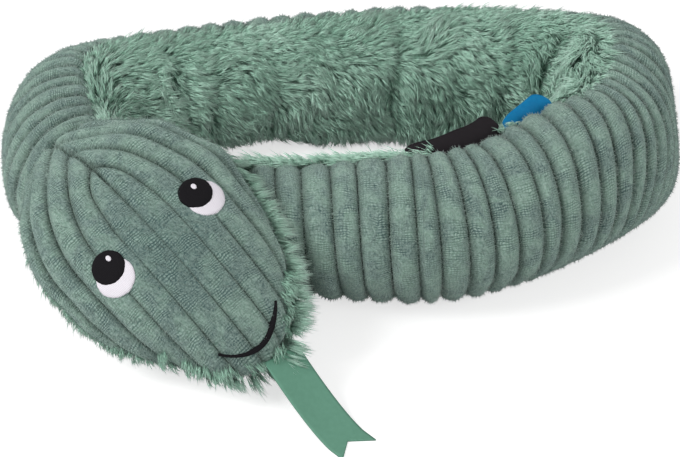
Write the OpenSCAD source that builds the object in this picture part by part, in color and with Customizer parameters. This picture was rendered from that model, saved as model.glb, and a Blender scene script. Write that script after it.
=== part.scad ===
// A stuffed toy snake that lies in a loop with its head resting on its tail.
// The body is a chain of stuffed sections, each an outer ribbed cover,
// an inner fur cover and a filling, and each section is hinged to the next.
// Millimetres, +Z up, the floor is z = 0 and the nose points to the front right.

/* [Body] */
// Radius of the body where the hidden tail meets the front stretch
front_start_r = 24.7; // [18:0.1:27]
// Radius of the body in the middle of the front stretch
front_mid_r = 27.7; // [20:0.1:29]
// Radius of the body at its thickest, on the right side
right_r = 28.5; // [22:0.1:31]
// Radius of the body along the back stretch
back_r = 25.3; // [20:0.1:29]
// Radius of the body at the neck
neck_r = 25.5; // [20:0.1:28]
// Half width of the flat that the body rests on, in degrees of its section
flat_half_angle = 11; // [6:1:16]
// Gap between neighbouring sections
section_gap = 0.3; // [0.2:0.05:0.6]

/* [Covers] */
// Distance from one rib of the outer cover to the next, along the outside
rib_pitch = 10; // [7:0.5:14]
// Height of a rib above its valley
rib_h = 1.6; // [0.8:0.1:2.4]
// Thickness of the cover cloth
cover_t = 2.4; // [1.6:0.1:3.2]
// How far the pile of the fur stands above the ribs
fur_over = 0.8; // [0:0.1:2]
// Gap between a cover and the filling inside it
fill_gap = 0.4; // [0.3:0.05:0.8]
// Half gap between the two covers along their seam, in degrees
seam_gap = 0.5; // [0.3:0.1:1]

/* [Seam] */
// Angle of the top seam on the tail and the front stretch, from the outside
seam_front = 119; // [90:1:140]
// Angle of the top seam where the front stretch starts to bend
seam_right = 129; // [90:1:145]
// Angle of the top seam in the middle of the right side
seam_right_mid = 94; // [60:1:130]
// Angle of the top seam along the back stretch
seam_back = 66; // [50:1:100]
// Angle of the top seam at the neck
seam_neck = 117; // [80:1:130]

/* [Tail] */
// Place of the joint between the tail and the front stretch, from the left
front_x = -16.1; // [-22:0.1:-10]
// Place of the joint between the tail and the front stretch, from the front
front_y = -17.8; // [-22:0.1:-12]
// Heading of the body at that joint, in degrees
front_heading = -3.5; // [-8:0.5:2]
// Length of the tail that lies under the head
tail_len = 28; // [22:1:34]
// Radius of the blunt end of the tail
tail_tip_r = 5; // [3:0.5:9]

/* [Front and right side] */
// Length of the straight part of the front stretch
front_straight_len = 38; // [30:1:46]
// Length of the bent part of the front stretch
front_bend_len = 50; // [40:1:56]
// Turn of the bent part of the front stretch
front_bend_turn = 37.5; // [28:0.5:44]
// Length of the first part of the right side
right_in_len = 28; // [24:1:36]
// Turn of the first part of the right side
right_in_turn = 13; // [6:0.5:20]
// Length of the second part of the right side
right_out_len = 46.5; // [38:0.5:54]
// Turn of the second part of the right side
right_out_turn = 52; // [40:1:60]
// Length of the corner at the back right
corner_len = 40.5; // [34:0.5:48]
// Turn of the corner at the back right
corner_turn = 61; // [50:1:70]

/* [Left side and neck] */
// Place of the joint between the neck and the head, from the left
neck_x = -93.4; // [-98:0.1:-88]
// Place of the joint between the neck and the head, from the front
neck_y = 2.5; // [-4:0.1:8]
// Heading of the body at that joint, in degrees
neck_heading = -52; // [-60:1:-44]
// Length of the neck
neck_len = 40; // [32:1:46]
// Turn of the neck
neck_turn = 37.5; // [28:0.5:46]
// Length of the left side
left_len = 39.5; // [34:0.5:46]
// Turn of the left side
left_turn = 72; // [60:1:80]
// How straight the back stretch leaves and meets its neighbours
back_ease = 0.31; // [0.26:0.01:0.4]

/* [Head] */
// Centre of the head between its two covers, from the left
head_x = -68.4; // [-72:0.1:-64]
// Centre of the head between its two covers, from the front
head_y = -46.5; // [-51:0.1:-42]
// Height of the centre of the head
head_z = 39.5; // [37:0.5:44]
// Turn of the head to the right, as seen on its own top
head_turn = 48; // [40:1:56]
// Tilt of the head towards the front
head_tilt = 32; // [26:1:36]
// Length of the head behind its widest place
head_back_len = 55; // [48:1:60]
// Length of the head before its widest place
head_front_len = 62; // [54:1:68]
// Half the width of the head
head_half_w = 39; // [34:1:43]
// Height of the head above its seam
head_top_h = 21; // [16:1:26]
// Depth of the head below its seam
head_under_h = 26; // [18:1:28]

/* [Face] */
// Distance of each eye from the middle line of the head
eye_side = 19.8; // [15:0.1:24]
// Distance of the eyes before the centre of the head
eye_ahead = 5.5; // [-4:0.5:12]
// Diameter of the white of an eye
eye_white_d = 15; // [12:0.5:17]
// Diameter of the pupil
pupil_d = 11.5; // [8:0.5:13]
// How far the pupil sits from the middle of the white
pupil_shift = 1.8; // [1:0.1:2.4]
// Diameter of the light spot in the pupil
spot_d = 2.2; // [1.4:0.1:3]
// Height of the embroidery over the cloth
thread_h = 0.6; // [0.4:0.1:1]
// Width of the embroidered mouth line
mouth_w = 1.8; // [1.2:0.1:3]
// Distance of the mouth line behind the edge of the nose
mouth_back = 4.5; // [2:0.5:7]
// Half the length of the mouth line, across the head
mouth_half_len = 13; // [9:1:16]
// How far the ends of the mouth line turn back
mouth_turn_back = 8; // [4:0.5:12]
// Distance of the middle of the mouth line from the middle line, to the far side
mouth_side = 1.5; // [0:0.5:4]

/* [Tongue] */
// Length of the tongue ribbon
tongue_len = 40; // [32:1:50]
// Width of the tongue ribbon
tongue_w = 13; // [9:0.5:16]
// Thickness of the ribbons and labels
ribbon_t = 0.8; // [0.5:0.1:1.2]
// Depth of the notch in the end of the tongue
notch_depth = 6; // [3:0.5:10]
// Distance of the tongue from the middle line of the head, to the far side
tongue_side = 2.5; // [-4:0.5:6]
// Share of the tongue that hangs before it lies on the floor
tongue_landing = 0.85; // [0.6:0.05:1]

/* [Labels] */
// Length of the black label along the seam
black_label_len = 37; // [26:1:38]
// How far the black label stands out of the seam
black_label_w = 8; // [5:0.5:12]
// Length of the blue label along the seam
blue_label_len = 19; // [12:1:21]
// How far the blue label stands out of the seam
blue_label_w = 9; // [5:0.5:12]

/* [View] */
// Which piece to show

/* [Hidden] */
eps = 0.01;
cover_sides = 5;
fur_sides = 6;
label_gap = 0.4;

cover_color = [0.50, 0.61, 0.56];
fur_color = [0.42, 0.60, 0.52];
filling_color = [0.93, 0.93, 0.90];
ribbon_color = [0.37, 0.55, 0.47];

// The route of the body

// A place on the route is [x, y, heading].
// It moves along an arc of a given length and turn.
function moved(p, l, turn) =
    abs(turn) < eps ? [p[0] + l * cos(p[2]), p[1] + l * sin(p[2]), p[2]]
    : let (rad = l * 180 / (PI * turn))
      [p[0] + rad * (sin(p[2] + turn) - sin(p[2])),
       p[1] - rad * (cos(p[2] + turn) - cos(p[2])),
       p[2] + turn];

front_start = [front_x, front_y, front_heading];
front_mid = moved(front_start, front_straight_len, 0);
front_end = moved(front_mid, front_bend_len, front_bend_turn);
right_mid = moved(front_end, right_in_len, right_in_turn);
right_end = moved(right_mid, right_out_len, right_out_turn);
corner_end = moved(right_end, corner_len, corner_turn);
neck_end = [neck_x, neck_y, neck_heading];
neck_start = moved(neck_end, -neck_len, -neck_turn);
left_start = moved(neck_start, -left_len, -left_turn);

// The back stretch is a cubic curve that joins the corner to the left side.
back_span = norm([left_start[0] - corner_end[0], left_start[1] - corner_end[1]]);
function ahead(p, d) = [p[0] + d * cos(p[2]), p[1] + d * sin(p[2])];
back_points = [
    [corner_end[0], corner_end[1]],
    ahead(corner_end, back_ease * back_span),
    ahead(left_start, -back_ease * back_span),
    [left_start[0], left_start[1]],
];
function bezier(c, t) =
    pow(1 - t, 3) * c[0] + 3 * t * pow(1 - t, 2) * c[1]
    + 3 * t * t * (1 - t) * c[2] + pow(t, 3) * c[3];
function bezier_slope(c, t) =
    pow(1 - t, 2) * (c[1] - c[0]) + 2 * t * (1 - t) * (c[2] - c[1])
    + t * t * (c[3] - c[2]);
function back_place(t) =
    let (p = bezier(back_points, t), d = bezier_slope(back_points, t))
    [p[0], p[1], atan2(d[1], d[0])];

// A station is [place, radius, seam angle].
// The pieces of a section are lists of such stations.
function station(p, r, seam) = [p, r, seam];
function mix(a, b, t) = a + (b - a) * t;

// Stations of an arc from place p, one every 1 / n of it.
function arc_stations(p, l, turn, r0, r1, seam0, seam1, n, from = 0) =
    [for (i = [from:n])
        station(moved(p, l * i / n, turn * i / n), mix(r0, r1, i / n), mix(seam0, seam1, i / n))];

// How many ribs an arc carries at the wanted pitch.
function rib_count(l, turn, r) = max(1, round((l + r * turn * PI / 180) / rib_pitch));

// The end planes of a section stand half a gap back from its neighbours.
function trimmed(s) =
    let (n = len(s) - 1, h = section_gap / 2)
    concat([pushed(s[0], h)], [for (i = [1:n - 1]) s[i]], [pushed(s[n], -h)]);
function pushed(s, d) = [moved(s[0], d, 0), s[1], s[2]];

// The tail narrows to its blunt end as the quarter of an ellipse does.
function tail_radius(t) = mix(tail_tip_r, front_start_r, pow(sin(90 * t), 0.8));
tail_tip = moved(front_start, -tail_len, 0);
function tail_stations(n) =
    let (rows = [for (i = [0:n])
        let (t = i / n, u = 1 - cos(90 * t))
        station(moved(tail_tip, tail_len * mix(t, u, 0.6), 0), tail_radius(mix(t, u, 0.6)), seam_front)])
    concat([for (i = [0:n - 1]) rows[i]], [pushed(rows[n], -section_gap / 2)]);

function front_stations(a, b) = trimmed(concat(
    arc_stations(front_start, front_straight_len, 0, front_start_r, front_mid_r,
        seam_front, seam_front, a),
    arc_stations(front_mid, front_bend_len, front_bend_turn, front_mid_r, right_r,
        seam_front, seam_right, b, 1)));
function right_stations(a, b) = trimmed(concat(
    arc_stations(front_end, right_in_len, right_in_turn, right_r, right_r,
        seam_right, seam_right, a),
    arc_stations(right_mid, right_out_len, right_out_turn, right_r, mix(right_r, back_r, 0.3),
        seam_right, seam_right_mid, b, 1)));
function corner_stations(n) = trimmed(arc_stations(right_end, corner_len, corner_turn,
    mix(right_r, back_r, 0.3), back_r, seam_right_mid, seam_back, n));
function back_stations(n) = trimmed([for (i = [0:n])
    station(back_place(i / n), back_r, seam_back)]);
function left_stations(n) = trimmed(arc_stations(left_start, left_len, left_turn,
    back_r, neck_r, seam_back, seam_neck, n));
function neck_stations(n) = trimmed(arc_stations(neck_start, neck_len, neck_turn,
    neck_r, neck_r, seam_neck, seam_neck, n));

// Rib counts of the sections, two stations to a rib
tail_ribs = rib_count(tail_len, 0, 0);
front_ribs = [
    rib_count(front_straight_len, 0, 0),
    rib_count(front_bend_len, front_bend_turn, front_mid_r),
];
right_ribs = [
    rib_count(right_in_len, right_in_turn, right_r),
    rib_count(right_out_len, right_out_turn, right_r),
];
corner_ribs = rib_count(corner_len, corner_turn, back_r);
back_ribs = rib_count(back_span, left_start[2] + 360 - corner_end[2], back_r);
left_ribs = rib_count(left_len, left_turn, back_r);
neck_ribs = rib_count(neck_len, neck_turn, neck_r);

// Rings and lofts

// A ring point at angle a from the outside of the body, up over its top.
// Below the flat angle the ring lies on the floor.
function ring_point(s, r, a, floor_z) =
    let (p = s[0], low = -90 - flat_half_angle - eps, high = -90 + flat_half_angle + eps)
    [p[0] + r * cos(a) * sin(p[2]),
     p[1] - r * cos(a) * cos(p[2]),
     (a > low && a < high) || a > 270 - flat_half_angle - eps ? floor_z
     : max(floor_z, s[1] * cos(flat_half_angle) + r * sin(a))];

function cover_angles(seam) = concat(
    [-90 - flat_half_angle + seam_gap, -90 + flat_half_angle],
    [for (i = [1:cover_sides])
        mix(-90 + flat_half_angle, seam - seam_gap, i / cover_sides)]);
function fur_angles(seam) = [for (i = [0:fur_sides])
    mix(seam + seam_gap, 270 - flat_half_angle - seam_gap, i / fur_sides)];

cloth_depth = rib_h + cover_t;
function cover_outer(rows) = [for (i = [0:len(rows) - 1])
    let (s = rows[i], r = i % 2 == 1 ? s[1] : s[1] - rib_h)
    [for (a = cover_angles(s[2])) ring_point(s, r, a, 0)]];
function cover_inner(rows) = [for (s = rows)
    [for (a = cover_angles(s[2])) ring_point(s, max(1, s[1] - cloth_depth), a, cloth_depth)]];
function fur_outer(rows) = [for (s = rows)
    [for (a = fur_angles(s[2])) ring_point(s, s[1] + fur_over, a, 0)]];
function fur_inner(rows) = [for (s = rows)
    [for (a = fur_angles(s[2])) ring_point(s, max(1, s[1] - cloth_depth), a, cloth_depth)]];
function filling_rings(rows) = [for (s = rows)
    [for (a = concat(cover_angles(s[2]), fur_angles(s[2])))
        ring_point(s, max(0.6, s[1] - cloth_depth - fill_gap), a, cloth_depth + fill_gap)]];

function flat_list(rows) = [for (row = rows) for (p = row) p];

// A strip of cloth between an outer and an inner surface, closed all round.
module cloth(outer, inner) {
    n = len(outer);
    m = len(outer[0]);
    k = n * m;
    faces = concat(
        [for (i = [0:n - 2]) for (j = [0:m - 2]) for (f = [
            [i * m + j, i * m + j + 1, (i + 1) * m + j],
            [i * m + j + 1, (i + 1) * m + j + 1, (i + 1) * m + j],
            [k + i * m + j + 1, k + i * m + j, k + (i + 1) * m + j],
            [k + (i + 1) * m + j + 1, k + i * m + j + 1, k + (i + 1) * m + j],
        ]) f],
        [for (i = [0:n - 2]) for (f = [
            [k + i * m, i * m, (i + 1) * m],
            [k + i * m, (i + 1) * m, k + (i + 1) * m],
            [i * m + m - 1, k + i * m + m - 1, (i + 1) * m + m - 1],
            [(i + 1) * m + m - 1, k + i * m + m - 1, k + (i + 1) * m + m - 1],
        ]) f],
        [for (j = [0:m - 2]) for (f = [
            [j + 1, j, k + j],
            [j + 1, k + j, k + j + 1],
            [k - m + j, k - m + j + 1, k + k - m + j],
            [k - m + j + 1, k + k - m + j + 1, k + k - m + j],
        ]) f]);
    polyhedron(points = concat(flat_list(outer), flat_list(inner)), faces = faces);
}

// A solid through closed rings, capped at both ends.
module stuffed(rings) {
    n = len(rings);
    m = len(rings[0]);
    faces = concat(
        [for (i = [0:n - 2]) for (j = [0:m - 1]) for (f = [
            [i * m + j, i * m + (j + 1) % m, (i + 1) * m + j],
            [i * m + (j + 1) % m, (i + 1) * m + (j + 1) % m, (i + 1) * m + j],
        ]) f],
        [for (j = [1:m - 2]) [0, j + 1, j]],
        [for (j = [1:m - 2]) [(n - 1) * m, (n - 1) * m + j, (n - 1) * m + j + 1]]);
    polyhedron(points = flat_list(rings), faces = faces);
}

// The three pieces of a section
module section_cover(rows) {
    color(cover_color) cloth(cover_outer(rows), cover_inner(rows));
}

module section_fur(rows) {
    color(fur_color) cloth(fur_outer(rows), fur_inner(rows));
}

module section_filling(rows) {
    color(filling_color) stuffed(filling_rings(rows));
}

// The tail, narrow and hidden under the head
module tail_cover() {
    section_cover(tail_stations(2 * tail_ribs));
}

module tail_fur() {
    section_fur(tail_stations(5));
}

module tail_filling() {
    section_filling(tail_stations(5));
}

// The front stretch, seen in full beside the head
module front_cover() {
    section_cover(front_stations(2 * front_ribs[0], 2 * front_ribs[1]));
}

module front_fur() {
    section_fur(front_stations(1, 3));
}

module front_filling() {
    section_filling(front_stations(1, 3));
}

// The right side, the thickest part of the body
module right_cover() {
    section_cover(right_stations(2 * right_ribs[0], 2 * right_ribs[1]));
}

module right_fur() {
    section_fur(right_stations(2, 4));
}

module right_filling() {
    section_filling(right_stations(2, 4));
}

// The tight corner at the back right
module corner_cover() {
    section_cover(corner_stations(2 * corner_ribs));
}

module corner_fur() {
    section_fur(corner_stations(5));
}

module corner_filling() {
    section_filling(corner_stations(5));
}

// The long back stretch, whose fur faces the viewer
module back_cover() {
    section_cover(back_stations(2 * back_ribs));
}

module back_fur() {
    section_fur(back_stations(6));
}

module back_filling() {
    section_filling(back_stations(6));
}

// The left side, bent sharply round towards the neck
module left_cover() {
    section_cover(left_stations(2 * left_ribs));
}

module left_fur() {
    section_fur(left_stations(6));
}

module left_filling() {
    section_filling(left_stations(6));
}

// The neck, which ends in the upright plane where the head is sewn on
module neck_cover() {
    section_cover(neck_stations(2 * neck_ribs));
}

module neck_fur() {
    section_fur(neck_stations(3));
}

module neck_filling() {
    section_filling(neck_stations(3));
}

// The head

// The head lies in a tilted plane. Its axes run to the nose,
// to the far side and up out of the head's top.
head_centre = [head_x, head_y, head_z];
to_nose = [cos(head_turn), -sin(head_turn) * cos(head_tilt), -sin(head_turn) * sin(head_tilt)];
to_far = [sin(head_turn), cos(head_turn) * cos(head_tilt), cos(head_turn) * sin(head_tilt)];
to_top = [0, -sin(head_tilt), cos(head_tilt)];

// Share of the full width or height that is left at distance u along the head.
function egg(u, back, front, power) =
    let (t = min(1, abs(u) / (u < 0 ? back : front)))
    pow(max(0, 1 - pow(t, power)), 1 / power);
back_power = 2.4;
front_power = 1.9;
function head_width(u, inset) = max(0.4,
    (head_half_w - inset) * egg(u, head_back_len - inset, head_front_len - inset,
        u < 0 ? back_power : front_power));
function head_height(u, h, inset) = max(0.4,
    (h - inset) * egg(u, head_back_len - inset, head_front_len - inset,
        u < 0 ? back_power : front_power));

// A point of the head's section at distance u, at angle a from the near edge.
function head_point(u, a, inset) =
    let (h = sin(a) > 0 ? head_top_h : head_under_h)
    head_centre + u * to_nose - head_width(u, inset) * cos(a) * to_far
    + head_height(u, h, inset) * sin(a) * to_top;

// A point of the neck carried straight on by d, at angle a from the outside.
function throat_point(d, a, inset) =
    let (p = moved(neck_end, d, 0), r = neck_r - inset)
    [p[0] + r * cos(a) * sin(p[2]), p[1] - r * cos(a) * cos(p[2]),
     neck_r * cos(flat_half_angle) + r * sin(a)];

// The first rings pass from the neck's round end to the head's section.
throat_rings = 4;
throat_len = 24;
shoulder_u = -0.5 * head_back_len;
function merge(t) = pow(sin(90 * t), 0.7);
function throat_ring(i, angles, inset) =
    let (t = i / throat_rings, u = mix(-0.94 * (head_back_len - inset), shoulder_u, t))
    [for (a = angles)
        mix(throat_point(section_gap / 2 + throat_len * t, a, inset),
            head_point(u, a, inset), merge(t))];
nose_steps = [0.26, 0.52, 0.76, 1, 1.22, 1.44, 1.62, 1.77, 1.88, 1.955, 1.992];
function head_rings(angles, inset) = concat(
    [for (i = [0:throat_rings]) throat_ring(i, angles, inset)],
    [for (s = nose_steps)
        let (u = s < 1 ? shoulder_u * (1 - s) : (s - 1) * (head_front_len - inset))
        [for (a = angles) head_point(u, a, inset)]]);
function on_floor(rings, z) = [for (ring = rings) [for (p = ring) [p[0], p[1], max(z, p[2])]]];

head_step = 20;
top_angles = [for (i = [0:9]) head_step * i];
under_angles = [for (i = [9:18]) head_step * i];

module head_top_cover() {
    color(cover_color)
        cloth(
            on_floor(head_rings(top_angles, 0), 0),
            on_floor(head_rings(top_angles, cover_t), cover_t));
}

module head_under_cover() {
    color(fur_color)
        cloth(
            on_floor(head_rings(under_angles, 0), 0),
            on_floor(head_rings(under_angles, cover_t), cover_t));
}

module head_filling() {
    inset = cover_t + fill_gap;
    color(filling_color)
        stuffed(on_floor(head_rings([for (i = [0:17]) head_step * i], inset), inset));
}

// The face

// A place on the head's top, u towards the nose and v towards the far side,
// raised by d along the surface's own normal.
function top_place(u, v) =
    let (w = head_width(u, 0), s = min(0.999, abs(v) / w))
    head_centre + u * to_nose + v * to_far
    + head_height(u, head_top_h, 0) * sqrt(1 - s * s) * to_top;
function raised(u, v, d) =
    let (step = 0.2,
        n = cross(top_place(u + step, v) - top_place(u - step, v),
            top_place(u, v + step) - top_place(u, v - step)))
    top_place(u, v) + d * n / norm(n);

// A round patch of embroidery that follows the head's top.
module patch(u, v, dia, low, high, sides = 12) {
    ring = [for (i = [0:sides - 1]) [u + dia / 2 * cos(360 * i / sides), v + dia / 2 * sin(360 * i / sides)]];
    half = [for (p = ring) [mix(u, p[0], 0.5), mix(v, p[1], 0.5)]];
    centre = [[u, v]];
    spots = concat(centre, half, ring);
    k = len(spots);
    points = concat(
        [for (p = spots) raised(p[0], p[1], high)],
        [for (p = spots) raised(p[0], p[1], low)]);
    faces = [for (i = [0:sides - 1]) let (j = (i + 1) % sides, a = 1 + i, b = 1 + j,
            c = 1 + sides + i, d = 1 + sides + j)
        for (f = [
            [0, b, a], [a, b, c], [b, d, c],
            [k, k + a, k + b], [k + a, k + c, k + b], [k + b, k + c, k + d],
            [c, d, k + c], [d, k + d, k + c],
        ]) f];
    polyhedron(points = points, faces = faces);
}

thread_gap = 0.1;
pupil_low = 2 * thread_gap + thread_h;
spot_low = pupil_low + thread_h + thread_gap;

module eye_white(side) {
    color([0.93, 0.92, 0.93])
        patch(eye_ahead, side * eye_side, eye_white_d, thread_gap, thread_gap + thread_h, 16);
}

module eye_pupil(side) {
    color([0.08, 0.08, 0.09])
        patch(eye_ahead - pupil_shift, side * eye_side, pupil_d, pupil_low, pupil_low + thread_h);
}

module eye_spot(side) {
    color([0.95, 0.95, 0.95])
        patch(eye_ahead - pupil_shift - pupil_d / 4, side * eye_side, spot_d,
            spot_low, spot_low + thread_h / 2, 8);
}

module near_eye_white() {
    eye_white(-1);
}

module near_eye_pupil() {
    eye_pupil(-1);
}

module near_eye_spot() {
    eye_spot(-1);
}

module far_eye_white() {
    eye_white(1);
}

module far_eye_pupil() {
    eye_pupil(1);
}

module far_eye_spot() {
    eye_spot(1);
}

// The smile, a narrow strip of black thread close behind the edge of the nose.
function mouth_place(s) =
    [head_front_len - mouth_back - mouth_turn_back * s * s, mouth_side + s * mouth_half_len];
module mouth_line() {
    n = 10;
    rows = [for (i = [0:n])
        let (s = 2 * i / n - 1, p = mouth_place(s))
        [raised(p[0] + mouth_w / 2, p[1], thread_gap),
         raised(p[0] + mouth_w / 2, p[1], thread_gap + thread_h),
         raised(p[0] - mouth_w / 2, p[1], thread_gap + thread_h),
         raised(p[0] - mouth_w / 2, p[1], thread_gap)]];
    color([0.08, 0.08, 0.09])
        stuffed(rows);
}

// The tongue, a ribbon sewn under the nose that runs down to the floor
nose_tip = head_centre + (head_front_len + section_gap) * to_nose + tongue_side * to_far;
tongue_heading = atan2(to_nose[1], to_nose[0]);
function tongue_place(t, side) =
    let (p = moved([nose_tip[0], nose_tip[1], tongue_heading], t * tongue_len, 0))
    [p[0] - side * tongue_w / 2 * sin(tongue_heading),
     p[1] + side * tongue_w / 2 * cos(tongue_heading),
     nose_tip[2] * pow(1 - min(1, t / tongue_landing), 1.5)];

module tongue_ribbon() {
    n = 8;
    rows = [for (i = [0:n]) let (t = i / n, m = t * (1 - notch_depth / tongue_len))
        [tongue_place(t, -1), tongue_place(m, 0), tongue_place(t, 1)]];
    color(ribbon_color)
        cloth([for (row = rows) [for (p = row) p + [0, 0, ribbon_t]]], rows);
}

// The labels, sewn into the top seam and standing in over the fur
label_rise = 4;

// A length along the seam takes more of the route than it is long,
// because the seam runs on the inside of the bend.
function seam_share(l, turn, r, seam) = 1 + (r + fur_over) * cos(seam) * turn * PI / 180 / l;
function label_rows(p0, l, turn, from, to, r_from, r_to, seam0, seam1, w, n) = [for (i = [0:n])
    let (t = mix(from, to, i / n) / l, p = moved(p0, l * t, turn * t), a = mix(seam0, seam1, t),
        r = mix(r_from, r_to, t), r1 = r + fur_over + label_gap,
        root = [p[0] + r1 * cos(a) * sin(p[2]), p[1] - r1 * cos(a) * cos(p[2]),
            r * cos(flat_half_angle) + r1 * sin(a)],
        out = w * cos(label_rise))
    [root, root + [-out * sin(p[2]), out * cos(p[2]), w * sin(label_rise)]]];

module label(rows) {
    lift = [0, 0, ribbon_t];
    cloth([for (row = rows) [row[0] + lift, row[1] + lift]], rows);
}

module black_label() {
    taken = black_label_len / seam_share(front_bend_len, front_bend_turn, right_r, seam_right);
    start = (front_bend_len - taken) / 2;
    color([0.10, 0.08, 0.10])
        label(label_rows(front_mid, front_bend_len, front_bend_turn, start, start + taken,
            front_mid_r, right_r, seam_front, seam_right, black_label_w, 5));
}

module blue_label() {
    taken = blue_label_len / seam_share(right_in_len, right_in_turn, right_r, seam_right);
    start = right_in_len - taken;
    color([0.0, 0.43, 0.63])
        label(label_rows(front_end, right_in_len, right_in_turn, start, start + taken,
            right_r, right_r, seam_right, seam_right, blue_label_w, 3));
}

tail_cover();
tail_fur();
tail_filling();
front_cover();
front_fur();
front_filling();
right_cover();
right_fur();
right_filling();
corner_cover();
corner_fur();
corner_filling();
back_cover();
back_fur();
back_filling();
left_cover();
left_fur();
left_filling();
neck_cover();
neck_fur();
neck_filling();
head_top_cover();
head_under_cover();
head_filling();
near_eye_white();
near_eye_pupil();
near_eye_spot();
far_eye_white();
far_eye_pupil();
far_eye_spot();
mouth_line();
tongue_ribbon();
black_label();
blue_label();
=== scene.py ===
import math

import bpy
import numpy as np
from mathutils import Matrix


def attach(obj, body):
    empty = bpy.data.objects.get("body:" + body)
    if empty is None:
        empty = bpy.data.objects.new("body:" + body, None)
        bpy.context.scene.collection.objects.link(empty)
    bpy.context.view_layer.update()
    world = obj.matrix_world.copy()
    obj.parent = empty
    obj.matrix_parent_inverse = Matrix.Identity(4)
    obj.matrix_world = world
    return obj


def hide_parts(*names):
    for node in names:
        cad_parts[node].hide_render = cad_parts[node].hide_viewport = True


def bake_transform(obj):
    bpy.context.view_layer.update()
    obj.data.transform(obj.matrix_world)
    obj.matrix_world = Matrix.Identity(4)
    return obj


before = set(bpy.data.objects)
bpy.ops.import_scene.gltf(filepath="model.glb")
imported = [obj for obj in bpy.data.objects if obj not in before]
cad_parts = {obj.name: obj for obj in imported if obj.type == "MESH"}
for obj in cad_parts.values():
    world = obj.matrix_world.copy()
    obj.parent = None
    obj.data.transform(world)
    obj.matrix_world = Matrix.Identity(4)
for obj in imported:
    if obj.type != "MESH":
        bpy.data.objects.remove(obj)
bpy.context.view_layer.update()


# The view.
# The toy lies on a white table and is seen from the front, 35 degrees above it,
# from about 0.9 metres away through a long lens.
aim = np.array([-0.0014, 0.0165, 0.025])
distance = 0.9
elevation = math.radians(35)
lens_pixels = 2358
aim_above_middle = 53.5
frame_wide = 680
sensor_wide = 36

camera_data = bpy.data.cameras.new("camera")
camera_data.sensor_width = sensor_wide
camera_data.lens = sensor_wide * lens_pixels / frame_wide
camera_data.clip_start = 0.01
camera = bpy.data.objects.new("camera", camera_data)
bpy.context.scene.collection.objects.link(camera)
camera.location = aim + distance * np.array([0, -math.cos(elevation), math.sin(elevation)])
tilt_down = elevation + math.atan(aim_above_middle / lens_pixels)
camera.rotation_euler = (math.pi / 2 - tilt_down, 0, 0)
bpy.context.scene.camera = camera


# The table and the light.
# A white table top under a big soft lamp from the upper left, a weaker one from
# the right, and pale light from all round. The table turns white for the camera.
table_size = 3.0
table_white = (0.5, 0.5, 0.5, 1)
table_lift = 0.66
room_light = 0.38
white, black = (1, 1, 1, 1), (0, 0, 0, 1)


def put(tree, kind, settings=None, **sockets):
    """Adds a node, sets its properties, and fills its inputs: an output is linked and a value is written.
    An input called _1 is the second one, and other names have a line in place of each space."""
    node = tree.nodes.new("ShaderNode" + kind)
    for key, value in (settings or {}).items():
        setattr(node, key, value)
    for key, value in sockets.items():
        socket = node.inputs[int(key[1:])] if key[0] == "_" else node.inputs[key.replace("_", " ")]
        if isinstance(value, bpy.types.NodeSocket):
            tree.links.new(value, socket)
        else:
            socket.default_value = value
    return node


def maths(tree, operation, *terms, kind="Math", **settings):
    """The output of a sum, such as ADD or MULTIPLY, on its terms in order."""
    sockets = {f"_{k}": term for k, term in enumerate(terms)}
    return put(tree, kind, {"operation": operation, **settings}, **sockets).outputs[0]


def bumped(tree, height, strength, depth):
    """The normal of a surface that a height roughens, up to a depth in metres."""
    return put(tree, "Bump", Strength=strength, Distance=depth, Height=height).outputs["Normal"]


def new_material(name):
    """An empty material and its node tree."""
    material = bpy.data.materials.new(name)
    material.use_nodes = True
    material.node_tree.nodes.clear()
    return material, material.node_tree


def seen_plainly(tree):
    """1 for the rays that should meet plain white: from the camera, and off or through anything glossy or clear."""
    path = put(tree, "LightPath")
    seen = path.outputs["Is Camera Ray"]
    for kind in ("Is Glossy Ray", "Is Transmission Ray"):
        seen = maths(tree, "MAXIMUM", seen, path.outputs[kind])
    return seen


table_material, tree = new_material("white_table")
grain = put(tree, "TexNoise", Scale=40.0, Detail=3.0)
matt = put(tree, "BsdfPrincipled", Base_Color=table_white, Roughness=0.7, Specular_IOR_Level=0.1,
           Normal=bumped(tree, grain.outputs["Fac"], 0.02, 0.0005))
glow = put(tree, "Emission", Color=white, Strength=table_lift)
none = put(tree, "Emission", Color=black, Strength=0.0)
lift = put(tree, "MixShader", _0=seen_plainly(tree), _1=none.outputs[0], _2=glow.outputs[0])
both = put(tree, "AddShader", _0=matt.outputs[0], _1=lift.outputs[0])
put(tree, "OutputMaterial", Surface=both.outputs[0])

half = table_size / 2
table_mesh = bpy.data.meshes.new("table")
table_mesh.from_pydata([(-half, -half, 0), (half, -half, 0), (half, half, 0), (-half, half, 0)], [], [(0, 1, 2, 3)])
table = bpy.data.objects.new("table", table_mesh)
table_mesh.materials.append(table_material)
bpy.context.scene.collection.objects.link(table)


def soft_lamp(name, place, size, power):
    """A square lamp that faces the toy."""
    lamp = bpy.data.lights.new(name, "AREA")
    lamp.size = size
    lamp.energy = power
    lamp_object = bpy.data.objects.new(name, lamp)
    lamp_object.location = place
    direction = np.array(place) - aim
    yaw = math.atan2(direction[1], direction[0])
    lamp_object.rotation_euler = (math.acos(direction[2] / np.linalg.norm(direction)), 0, yaw + math.pi / 2)
    bpy.context.scene.collection.objects.link(lamp_object)


soft_lamp("key_lamp", (-1.0, -0.4, 0.95), 0.6, 16.5)
soft_lamp("fill_lamp", (0.8, -1.0, 0.8), 0.9, 9.5)

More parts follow.
